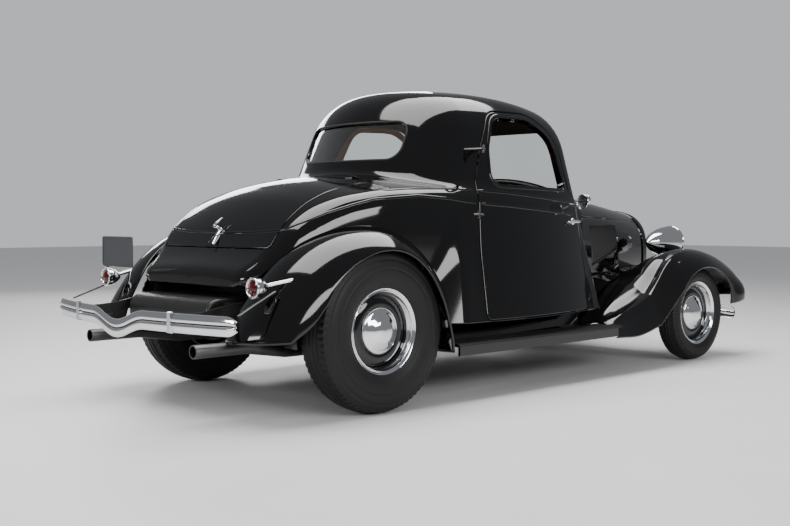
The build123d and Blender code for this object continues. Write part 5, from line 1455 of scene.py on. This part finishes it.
def build_tyre(word, place_word, hub, radius, half, side, tread):
    """A tyre with tread blocks, two grooves and ringed sidewalls."""
    profile = tread_profile(radius, half, 0.198)
    crown_low = radius - 0.030

    def groove(along, r, k):
        edge = abs(along) / half
        if r > crown_low and edge > 0.52:
            return r - (tread * 0.75 if k % 3 == 0 else 0.0)
        if r > crown_low and (0.16 < edge < 0.24 or 0.40 < edge < 0.48):
            return r - tread
        return r

    node = "tyre_%s_%s" % (place_word, word)
    turned(node + "_skin", profile, (hub[0], side * hub[1], hub[2]), (0, side, 0), "tyre",
           "%s_wheel_%s" % (place_word, word), (node,), steps=216, sharp=32, squash=groove)


def build_wheel(word, place_word, hub, half, disc, cap, side):
    """A pressed wheel with its chrome ring and hub cap."""
    centre, axis = (hub[0], side * hub[1], hub[2]), (0, side, 0)
    node, body = "wheel_%s_%s" % (place_word, word), "%s_wheel_%s" % (place_word, word)
    rim = half * 0.72
    profile = [(-0.070, 0.020), (-0.070, 0.140), (-0.068, 0.150), (disc - 0.030, 0.150), (disc - 0.012, 0.155),
               (disc - 0.010, 0.186), (-rim, 0.190), (-rim, 0.1975), (-rim - 0.003, 0.207), (-rim + 0.001, 0.208),
               (-rim + 0.004, 0.199), (rim - 0.004, 0.199), (rim - 0.001, 0.208), (rim + 0.003, 0.207),
               (rim, 0.198), (rim - 0.010, 0.192), (disc + 0.012, 0.188), (disc + 0.006, 0.180), (disc, 0.172),
               (disc + 0.010, 0.150), (disc + 0.014, 0.128), (disc + 0.010, 0.112), (disc + 0.008, 0.096),
               (disc + 0.008, 0.02)]
    turned(node + "_disc", profile, centre, axis, "paint", body, (node,), sharp=28)
    ring = [(rim + 0.0035, 0.2065), (rim + 0.006, 0.204), (rim + 0.004, 0.199), (rim - 0.004, 0.194),
            (rim - 0.006, 0.190), (rim - 0.002, 0.187), (disc + 0.022, 0.183), (disc + 0.018, 0.179),
            (disc + 0.008, 0.1765)]
    turned(node + "_trim_ring", ring, centre, axis, "chrome", body)
    tip = cap - disc
    dome = [(disc + 0.007, 0.113), (disc + 0.014, 0.1125), (disc + 0.020, 0.108), (disc + 0.022, 0.100),
            (disc + tip * 0.50, 0.090), (disc + tip * 0.66, 0.078), (disc + tip * 0.72, 0.066),
            (disc + tip * 0.80, 0.060), (disc + tip * 0.90, 0.044), (disc + tip * 0.97, 0.024),
            (disc + tip * 0.995, 0.008), (disc + tip, 0.0002)]
    turned(node + "_hub_cap", dome, centre, axis, "chrome", body, sharp=50)


class COUPE_OT_wheels(bpy.types.Operator):
    """Builds the wheels, trim rings, hub caps and treaded tyres"""
    bl_idname = "coupe.wheels"
    bl_label = "Wheels and tyres"

    def execute(self, context):
        wheels = context.scene.coupe_wheels
        rear_half, front_half = 0.100, 0.073
        for side, word in both_sides:
            build_tyre(word, "rear", rear_hub, wheels.rear_radius, rear_half, side, wheels.tread_depth)
            build_tyre(word, "front", front_hub, wheels.front_radius, front_half, side, wheels.tread_depth)
            build_wheel(word, "rear", rear_hub, rear_half, 0.030, 0.084, side)
            build_wheel(word, "front", front_hub, front_half, 0.008, 0.062, side)
        return {"FINISHED"}


# Bumpers

# The bumper's face: how far out and how high each point is, from its low edge,
# and the band in the groove between its two bars, which is painted black as the groove's shade
bumper_face = [(-0.012, 0.003), (-0.006, 0.000), (-0.006, 0.008), (-0.0015, 0.020), (0.0, 0.030), (-0.002, 0.038),
               (-0.007, 0.0405), (-0.007, 0.0455), (-0.002, 0.048), (0.0, 0.056), (-0.0015, 0.066), (-0.006, 0.078),
               (-0.006, 0.086), (-0.012, 0.083)]
face_height, groove_shade_band = 0.086, 6


def bumper_path(tip, end, half, count=120):
    """x over y on the bumper's bowed plan."""
    radius = (half**2 + (tip - end) ** 2) / (2 * abs(tip - end))
    way = 1 if tip > end else -1
    ys = np.linspace(-half, half, count)
    return ys, tip - way * (radius - np.sqrt(radius**2 - ys**2)), way


def bumper_dip(y, depth=0.052, half=0.235):
    """How far the bumper drops at y, with rounded shoulders."""
    share = np.clip(np.abs(y) / half, 0, 1)
    return depth * 0.5 * (1 + np.cos(math.pi * share))


def build_bumper(name, node, tip, end, half, low, height):
    """A bowed and dipped bumper with its two clips."""
    ys, xs, way = bumper_path(tip, end, half)
    points = []
    for y, x in zip(ys, xs):
        narrow = 1 - min(1, max(0, (abs(y) - half + 0.05) / 0.05)) ** 2 * 0.45
        for out, z in bumper_face:
            level = low + height / 2 + (z / face_height - 0.5) * height * narrow - bumper_dip(y)
            points.append((x + way * out, y, level))
    # The groove's band takes the second finish, black painted as the shade in the groove
    marks = np.zeros((len(ys) - 1, len(bumper_face) - 1), dtype=int)
    marks[:, groove_shade_band] = 1
    bar = add_piece(name, points, grid_faces(len(ys), len(bumper_face), flip=way > 0),
                    [finishes["chrome"], finishes["gap"]], marks.ravel(), sharp=50)
    thicken(bar, 0.003)
    ride_as(bar, "chassis", "chrome", node)
    for number, y in enumerate((-0.42, 0.42)):
        x = float(np.interp(y, ys, xs))
        outline = ((-0.010, -0.014, 0.004), (0.0035, -0.013, 0.002), (0.0055, 0, 0.002), (0.0035, 0.013, 0.002),
                   (-0.010, 0.014, 0.004))
        clip = [(x + way * a, y + b, low - c) for a, b, c in outline]
        clip += [(x + way * a, y + b, low + (height + c)) for a, b, c in outline]
        faces = [(i, i + 1, i + 6, i + 5) for i in range(4)] + [(4, 3, 2, 1, 0), (5, 6, 7, 8, 9), (0, 5, 9, 4)]
        clip = add_piece("%s_clip_%d" % (name, number), clip, faces, [finishes["chrome"]], sharp=60)
        ride_as(clip, "chassis", "chrome")


def bumper_irons(name, face_x, iron_x, low, iron_low):
    """The two flat bars that carry a bumper."""
    half_thick, deep = 0.006, 0.05
    path = [(face_x, low), ((face_x * 2 + iron_x) / 3, (low * 2 + iron_low) / 3 - 0.012),
            ((face_x + iron_x * 2) / 3, (low + iron_low * 2) / 3), (iron_x, iron_low)]
    for side, word in both_sides:
        y = side * 0.404
        points = []
        for x, z in path:
            points += [(x, y - half_thick, z), (x, y + half_thick, z), (x, y + half_thick, z + deep),
                       (x, y - half_thick, z + deep)]
        faces = grid_faces(len(path), 4, ring=True) + [(0, 1, 2, 3), (12, 15, 14, 13)]
        bar = add_piece("%s_%s" % (name, word), points, faces, [finishes["chassis"]], sharp=40)
        ride_as(bar, "chassis", "chassis_black")


class COUPE_OT_bumpers(bpy.types.Operator):
    """Builds the chrome bumpers, their clips and irons"""
    bl_idname = "coupe.bumpers"
    bl_label = "Bumpers"

    def execute(self, context):
        half_length, height = 2.2285, 0.086
        build_bumper("rear_bumper_bar", "rear_bumper", -half_length, rear_axle_x - 0.842, 0.796, 0.426, height)
        build_bumper("front_bumper_bar", "front_bumper", half_length, rear_axle_x + 3.268, 0.792, 0.242, height)
        bumper_irons("rear_iron", -2.185, rear_axle_x - 0.42, 0.445, 0.500)
        bumper_irons("front_iron", 2.185, rear_axle_x + 2.98, 0.260, 0.420)
        return {"FINISHED"}


# Lamps

def lamp_shell(name, centre, axis, radius, length, nodes=(), rim=0.006):
    """A teardrop lamp shell with a rolled rim."""
    profile, steps = [(-length, 0.0004)], 25
    for i in range(1, steps + 1):
        t = i / steps
        profile.append((-length * (1 - t), radius * math.sin(math.pi / 2 * t) ** 0.62))
    profile += [(0.002, radius + rim * 0.5), (0.006, radius + rim * 0.6), (0.010, radius), (0.011, radius - 0.004),
                (0.008, radius - 0.008), (-0.004, radius - 0.010)]
    turned(name, profile, centre, axis, "chrome", "chassis", nodes, sharp=60)


def lamp_lens(name, centre, axis, radius, bow, finish_name, nodes=()):
    """A bowed lens with a real thickness."""
    profile = [(bow * (1 - (r / radius) ** 2) - 0.002, r) for r in np.linspace(radius, 0.0004, 14)]
    profile += [(a - 0.004, r) for a, r in profile[::-1]]
    turned(name, profile, centre, axis, finish_name, "chassis", nodes, sharp=50)


class COUPE_OT_lamps(bpy.types.Operator):
    """Builds the headlamps, tail lamps and cowl lamps"""
    bl_idname = "coupe.lamps"
    bl_label = "Lamps"

    def execute(self, context):
        for side, word in both_sides:
            # The CAD has one node for both lamps, so the left piece stands for it
            self.headlamp(side, word, side > 0)
            self.tail_lamp(side, word, side > 0)
            self.cowl_lamp(side, word, side > 0)
        return {"FINISHED"}

    def headlamp(self, side, word, first):
        """A headlamp with its reflector, bulb and stalk."""
        eye, ahead = (rear_axle_x + 3.030 - 0.011, side * 0.432, 0.768), (1, 0, 0)
        lamp_shell("headlamp_shell_" + word, eye, ahead, 0.105, 0.279, ("headlamps",) if first else ())
        lamp_lens("headlamp_lens_" + word, eye, ahead, 0.100, 0.020, "lens", ("headlamp_lenses",) if first else ())
        bowl = [(-0.085 + 0.085 * (r / 0.098) ** 2 - 0.006, r) for r in np.linspace(0.0004, 0.098, 16)]
        turned("headlamp_reflector_" + word, bowl, eye, ahead, "reflector", "chassis")
        bulb = [(-0.075, 0.010), (-0.050, 0.011), (-0.038, 0.014), (-0.026, 0.012), (-0.018, 0.006), (-0.016, 0.0004)]
        turned("headlamp_bulb_" + word, bulb, eye, ahead, "lens", "chassis")
        foot = (rear_axle_x + 2.900, side * 0.432, 0.640)
        stalk = [(-0.060, 0.052), (-0.035, 0.040), (-0.010, 0.024), (0.010, 0.017), (0.040, 0.016), (0.070, 0.022)]
        turned("headlamp_stalk_" + word, stalk, foot, (0, 0, 1), "paint", "chassis")

    def tail_lamp(self, side, word, first):
        """A tail lamp on its arm."""
        eye, astern = (rear_axle_x - 0.647, side * 0.657, 0.618), (-1, 0, 0)
        lamp_shell("tail_lamp_shell_" + word, eye, astern, 0.0465, 0.082, ("tail_lamps",) if first else (), rim=0.003)
        bowl = [(-0.012, 0.0004), (-0.011, 0.012), (-0.006, 0.028), (-0.001, 0.040)]
        turned("tail_reflector_" + word, bowl, eye, astern, "reflector", "chassis", steps=64)
        lamp_lens("tail_lens_" + word, eye, astern, 0.0425, 0.013, "red_lens", ("tail_lenses",) if first else ())
        arm = [(rear_axle_x + station, side * y, z) for station, y, z in (
            (-0.600, 0.660, 0.622), (-0.540, 0.676, 0.634), (-0.480, 0.697, 0.645), (-0.425, 0.712, 0.652))]
        tube("tail_lamp_arm_" + word, arm, (0.011, 0.010, 0.010, 0.015), "chrome", "chassis")

    def cowl_lamp(self, side, word, first):
        """A small lamp beside the cowl."""
        eye, ahead = (rear_axle_x + 1.8485, side * 0.585, 1.035), (1, 0, 0)
        lamp_shell("cowl_lamp_shell_" + word, eye, ahead, 0.034, 0.072, ("cowl_lamps",) if first else (), rim=0.003)
        lamp_lens("cowl_lamp_lens_" + word, eye, ahead, 0.030, 0.008, "lens")
        arm = [(rear_axle_x + 1.820, side * y, z) for y, z in ((0.580, 1.030), (0.572, 1.008), (0.560, 0.990))]
        tube("cowl_lamp_arm_" + word, arm, (0.008, 0.008, 0.013), "chrome", "chassis", up=(1, 0, 0))


# Seats

# Size of the seat mesh's cells, number of simulated frames, most a point may move
seat_voxel, stuffing_frames, stuffing_cap = 0.011, 20, 0.012


def block_mesh(name, size, corner):
    """A rounded block as an even mesh, ready to be stuffed."""
    mesh = bpy.data.meshes.new(name)
    build = bmesh.new()
    bmesh.ops.create_cube(build, size=1.0)
    bmesh.ops.scale(build, vec=size, verts=build.verts)
    bmesh.ops.bevel(build, geom=list(build.edges), offset=corner, segments=4, affect="EDGES")
    build.to_mesh(mesh)
    build.free()
    obj = bpy.data.objects.new(name, mesh)
    bpy.context.scene.collection.objects.link(obj)
    remesh = obj.modifiers.new("even_mesh", "REMESH")
    remesh.mode = "VOXEL"
    remesh.voxel_size = seat_voxel
    apply_modifiers(obj)
    return obj


def stuff(obj, fill):
    """Blows the block up as cloth, with no point moving more than the cap."""
    before = np.empty(len(obj.data.vertices) * 3)
    obj.data.vertices.foreach_get("co", before)
    before = before.reshape(-1, 3)
    cloth = obj.modifiers.new("stuffing", "CLOTH")
    cloth.settings.effector_weights.gravity = 0
    for label, value in (("quality", 5), ("use_pressure", True), ("uniform_pressure_force", 5.5 * fill),
                         ("tension_stiffness", 12), ("compression_stiffness", 12), ("bending_stiffness", 0.6)):
        setattr(cloth.settings, label, value)
    cloth.point_cache.frame_start = 1
    cloth.point_cache.frame_end = stuffing_frames
    scene = bpy.context.scene
    for step in range(1, stuffing_frames + 1):
        scene.frame_set(step)
    apply_modifiers(obj)
    scene.frame_set(1)
    after = np.empty(before.size)
    obj.data.vertices.foreach_get("co", after)
    shift = after.reshape(-1, 3) - before
    length = np.linalg.norm(shift, axis=1)
    shift *= (np.minimum(length, stuffing_cap) / np.maximum(length, 1e-9))[:, None]
    obj.data.vertices.foreach_set("co", (before + shift).ravel())
    obj.data.update()


def sew(obj, size, channels, depth, border, face_axis):
    """Presses the sewn channels and the border seam into the faced sides."""
    where, normal = np.empty((2, len(obj.data.vertices) * 3))
    obj.data.vertices.foreach_get("co", where)
    obj.data.vertices.foreach_get("normal", normal)
    where, normal = where.reshape(-1, 3), normal.reshape(-1, 3)
    half = np.array(size) / 2
    across = where[:, 1] / (half[1] - border)
    inside = np.clip((1.0 - np.abs(across)) / 0.04, 0, 1)
    faced = np.clip(normal @ np.array(face_axis) * 1.6, 0, 1)
    wave = np.abs(np.sin(math.pi * (across + 1) / 2 * channels))
    press = (1 - wave**0.55) * depth * inside * faced
    seam = np.exp(-((np.abs(across) - 1.0) / 0.012) ** 2) * depth * 0.9
    where -= normal * (press + seam * (0.35 + 0.65 * faced))[:, None]
    obj.data.vertices.foreach_set("co", where.ravel())
    obj.data.update()


def seat_pad(name, node, size, seat, face_axis, move):
    """A stuffed and sewn pad that stands for a plain CAD one."""
    pad = block_mesh(name, size, 0.040)
    stuff(pad, seat.fill)
    smooth = pad.modifiers.new("finer", "SUBSURF")
    smooth.levels = smooth.render_levels = 1
    apply_modifiers(pad)
    sew(pad, size, seat.channels, seat.channel_depth, 0.060, face_axis)
    pad.data.transform(move)
    for face in pad.data.polygons:
        face.use_smooth = True
    pad.data.materials.append(finishes["leather"])
    ride_as(pad, "chassis", "tan_leather", node)


def seat_piping(name, size, corner, move, face_axis):
    """A line of piping round the faced side's edge."""
    half = np.array(size) / 2
    first, second = (i for i in range(3) if face_axis[i] == 0)
    level = 3 - first - second
    bend, below = corner * 0.90, 0.018
    path = []
    for px, py, start in ((1, 1, 0), (-1, 1, 90), (-1, -1, 180), (1, -1, 270)):
        for turn in np.radians(np.linspace(start, start + 90, 7)):
            point = Vector((0, 0, 0))
            point[first] = px * (half[first] - corner) + bend * math.cos(turn)
            point[second] = py * (half[second] - corner) + bend * math.sin(turn)
            point[level] = face_axis[level] * (half[level] - below)
            path.append(move @ point)
    tube(name, path, 0.0045, "piping", "chassis", sides=8, closed=True, up=(0.3, 0.2, 1))


class COUPE_OT_seats(bpy.types.Operator):
    """Stuffs and sews the bench seat's cushion and back"""
    bl_idname = "coupe.seats"
    bl_label = "Seats"

    def execute(self, context):
        seat = context.scene.coupe_seats
        low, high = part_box("seat_cushion")
        middle = [(a + b) / 2 for a, b in zip(low, high)]
        size = [b - a - 0.018 for a, b in zip(low, high)]
        move = Matrix.Translation(middle)
        seat_pad("seat_cushion_pad", "seat_cushion", size, seat, (0, 0, 1), move)
        seat_piping("seat_cushion_piping", size, 0.055, move, (0, 0, 1))
        size = [0.134, 0.962, 0.414]
        tilt = math.radians(12)
        foot = Vector((rear_axle_x + 0.720, 0, 0.769))
        up = Vector((-math.sin(tilt), 0, math.cos(tilt)))
        move = Matrix.Translation(foot + up * 0.215) @ Matrix.Rotation(-tilt, 4, "Y")
        seat_pad("seat_back_pad", "seat_back", size, seat, (1, 0, 0), move)
        seat_piping("seat_back_piping", size, 0.050, move, (1, 0, 0))
        dress("seat_frame", "carpet")
        return {"FINISHED"}


cabin_finishes = (
    ("dashboard", "paint"), ("steering_wheel", "bakelite"), ("steering_column", "paint"),
    ("shift_lever", "bakelite"), ("floor_pan", "carpet"),
)


class COUPE_OT_cabin(bpy.types.Operator):
    """Fits the dashboard's dials, the mats and the controls"""
    bl_idname = "coupe.cabin"
    bl_label = "Cabin"

    def execute(self, context):
        for node, name in cabin_finishes:
            dress(node, name)
        face, back = rear_axle_x + 1.600, (-1, 0, 0)
        for number, (y, z, radius) in enumerate(((0.0, 1.000, 0.052), (0.125, 0.998, 0.036), (-0.125, 0.998, 0.036))):
            bezel = [(0.0, radius), (0.006, radius), (0.009, radius - 0.003), (0.008, radius - 0.007),
                     (0.003, radius - 0.008)]
            turned("dial_bezel_%d" % number, bezel, (face, y, z), back, "chrome", "chassis", steps=48)
            dial = [(0.003, radius - 0.008), (0.0032, 0.010), (0.005, 0.008), (0.006, 0.0002)]
            turned("dial_face_%d" % number, dial, (face, y, z), back, "dial", "chassis", steps=48)
        knob = [(0.0, 0.006), (0.014, 0.006), (0.016, 0.012), (0.024, 0.013), (0.027, 0.009), (0.028, 0.0002)]
        for number, y in enumerate((-0.22, 0.22, 0.42)):
            turned("dash_knob_%d" % number, knob, (face, y, 0.950), back, "bakelite", "chassis", steps=32)
        return {"FINISHED"}


class COUPE_OT_chassis(bpy.types.Operator):
    """Dresses the frame, axles, engine and the small fittings"""
    bl_idname = "coupe.chassis"
    bl_label = "Chassis and fittings"

    def execute(self, context):
        for node, name in chassis_finishes:
            dress(node, name)
        half_width, half_height = 0.1525, 0.076
        middle_y, middle_z = 0.526, 0.754
        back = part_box("number_plate")[0][0] - 0.0005
        corners = [(y * half_width, z * half_height, 0.014) for y, z in ((1, -1), (1, 1), (-1, 1), (-1, -1))]
        edge = [(back, middle_y + a, middle_z + b) for a, b in rounded_outline(corners, 0.006)]
        tube("plate_rim", edge, 0.0032, "plate", "chassis", sides=8, closed=True, up=(1, 0, 0))
        for number, side in enumerate((1, -1)):
            end = place(np.array([(-0.842, side * 0.472, 0.336)]))[0]
            tip = [(0.0, 0.0255), (0.0005, 0.0305), (0.004, 0.0315), (0.060, 0.0315)]
            turned("tailpipe_tip_%d" % number, tip, end, (1, 0, 0), "steel", "chassis", steps=48)
            brace = [(s, side * y, z) for s, y, z in (
                (-0.792, 0.745, 0.508), (-0.700, 0.722, 0.545), (-0.560, 0.694, 0.600))]
            tube("bumper_brace_%d" % number, place(np.array(brace)), (0.009, 0.010, 0.010), "chassis", "chassis",
                 flat=0.5)
        for side, word in both_sides:
            inner = np.array([(2.398, 0.0, 0.604), (2.430, 0.0, 0.612), (2.462, 0.0, 0.620)])
            spots = hit(hood_value, inner, np.tile((0.0, float(side), 0.0), (len(inner), 1)), 0.8)
            tube("hood_latch_" + word, place(spots + (0, side * 0.010, 0)), (0.006, 0.008, 0.006), "chrome", "chassis")
        return {"FINISHED"}


chassis_finishes = (
    ("frame_rails", "chassis"), ("rear_axle", "chassis"), ("front_axle", "chassis"), ("springs", "chassis"),
    ("knuckle_left", "chassis"), ("knuckle_right", "chassis"), ("tie_rod", "chassis"), ("fuel_tank", "chassis"),
    ("engine_block", "iron"), ("exhaust", "steel"), ("grille", "chrome"), ("radiator_core", "iron"),
    ("hood_rod", "paint"), ("number_plate", "plate"),
)


# How bright the sky is, seen or lighting the floor, and in reflections
sky_seen, sky_reflected = 0.72, 0.30
# The camera that takes the photo's view
camera_spot = (-4.668, -4.4759, 0.9163)
camera_yaw, camera_pitch = math.radians(46.64), math.radians(-2.30)


class COUPE_OT_stage(bpy.types.Operator):
    """Sets the floor, the soft lights and the camera"""
    bl_idname = "coupe.stage"
    bl_label = "Floor, lights and camera"

    def execute(self, context):
        stage = context.scene.coupe_stage
        size = stage.floor_size / 2
        pale = finish("pale_floor", (0.62, 0.61, 0.60), 0.5, grain=30, relief=0.02, shift=0.02)
        floor = add_piece("floor", [(-size, -size, 0), (size, -size, 0), (size, size, 0), (-size, size, 0)],
                          [(0, 1, 2, 3)], [pale])
        context.scene.world = self.sky()
        for name, spot, aim, width, height, power in (
            ("over_light", (0.0, 0.0, 5.2), (0, 0, 0), 7.0, 3.2, stage.light_power),
            ("side_light", (-1.0, -7.5, 3.2), (0, 0, 0.7), 6.0, 1.6, stage.light_power * 0.55),
            ("tail_light", (-8.0, 0.5, 3.0), (0, 0, 0.7), 3.0, 1.6, stage.light_power * 0.4),
            ("far_light", (3.0, 7.0, 3.4), (0, 0, 0.8), 6.0, 1.6, stage.light_power * 0.4),
        ):
            data = bpy.data.lights.new(name, "AREA")
            data.shape = "RECTANGLE"
            data.size = width
            data.size_y = height
            data.energy = power
            lamp = bpy.data.objects.new(name, data)
            lamp.location = spot
            lamp.rotation_euler = (Vector(aim) - Vector(spot)).to_track_quat("-Z", "Y").to_euler()
            context.scene.collection.objects.link(lamp)
        data = bpy.data.cameras.new("photo_camera")
        data.lens = stage.lens
        data.sensor_width = 36.0
        camera = bpy.data.objects.new("photo_camera", data)
        level = math.cos(camera_pitch)
        aim = Vector((level * math.cos(camera_yaw), level * math.sin(camera_yaw), math.sin(camera_pitch)))
        camera.location = camera_spot
        camera.rotation_euler = aim.to_track_quat("-Z", "Y").to_euler()
        context.scene.collection.objects.link(camera)
        context.scene.camera = camera
        return {"FINISHED"}

    def sky(self):
        """A soft sky that is dimmer in reflections."""
        world = bpy.data.worlds.new("soft_sky")
        world.use_nodes = True
        tree = world.node_tree
        backdrop = tree.nodes["Background"]
        backdrop.inputs["Color"].default_value = (0.80, 0.82, 0.86, 1.0)
        ray = add_node(tree, "LightPath")
        mirrored = add_node(tree, "Math", operation="SUBTRACT", use_clamp=True)
        strength = add_node(tree, "MapRange", [("To Min", sky_seen), ("To Max", sky_reflected)])
        link(tree, (ray, "Is Glossy Ray", mirrored, 0), (ray, "Is Transmission Ray", mirrored, 1),
             (mirrored, "Value", strength, "Value"), (strength, "Result", backdrop, "Strength"))
        return world


class COUPE_PT_panel(bpy.types.Panel):
    """Lists the coupe's settings and its pieces"""
    bl_idname = "COUPE_PT_panel"
    bl_label = "Coupe"
    bl_space_type = "VIEW_3D"
    bl_region_type = "UI"
    bl_category = "Coupe"

    def draw(self, context):
        layout = self.layout
        scene = context.scene
        for title, group in setting_groups:
            box = layout.box()
            box.label(text=title)
            settings = getattr(scene, group)
            for name in settings.bl_rna.properties.keys():
                if name not in ("rna_type", "name"):
                    box.prop(settings, name)
        column = layout.column()
        for operator in operators:
            column.operator(operator.bl_idname)


setting_groups = (("Paint", "coupe_paint"), ("Body", "coupe_body"), ("Hood", "coupe_hood"), ("Wheels", "coupe_wheels"),
                  ("Seats", "coupe_seats"), ("Stage", "coupe_stage"))
settings_classes = (CoupePaintSettings, CoupeBodySettings, CoupeHoodSettings, CoupeWheelSettings, CoupeSeatSettings,
                    CoupeStageSettings)
operators = (COUPE_OT_body, COUPE_OT_doors, COUPE_OT_deck_lid, COUPE_OT_glass, COUPE_OT_hood, COUPE_OT_fenders,
             COUPE_OT_boards, COUPE_OT_wheels, COUPE_OT_bumpers, COUPE_OT_lamps, COUPE_OT_seats, COUPE_OT_cabin,
             COUPE_OT_chassis, COUPE_OT_stage)


def register():
    """Registers the add-on and its settings on the scene."""
    for item in settings_classes + operators + (COUPE_PT_panel,):
        bpy.utils.register_class(item)
    for (title, group), settings in zip(setting_groups, settings_classes):
        setattr(bpy.types.Scene, group, bpy.props.PointerProperty(type=settings))


def unregister():
    """Takes the settings and the classes off again."""
    for title, group in setting_groups:
        delattr(bpy.types.Scene, group)
    for item in (settings_classes + operators + (COUPE_PT_panel,))[::-1]:
        bpy.utils.unregister_class(item)


def main():
    """Builds the whole car."""
    register()
    for operator in operators:
        group, name = operator.bl_idname.split(".")
        getattr(getattr(bpy.ops, group), name)()


if __name__ == "__main__":
    main()
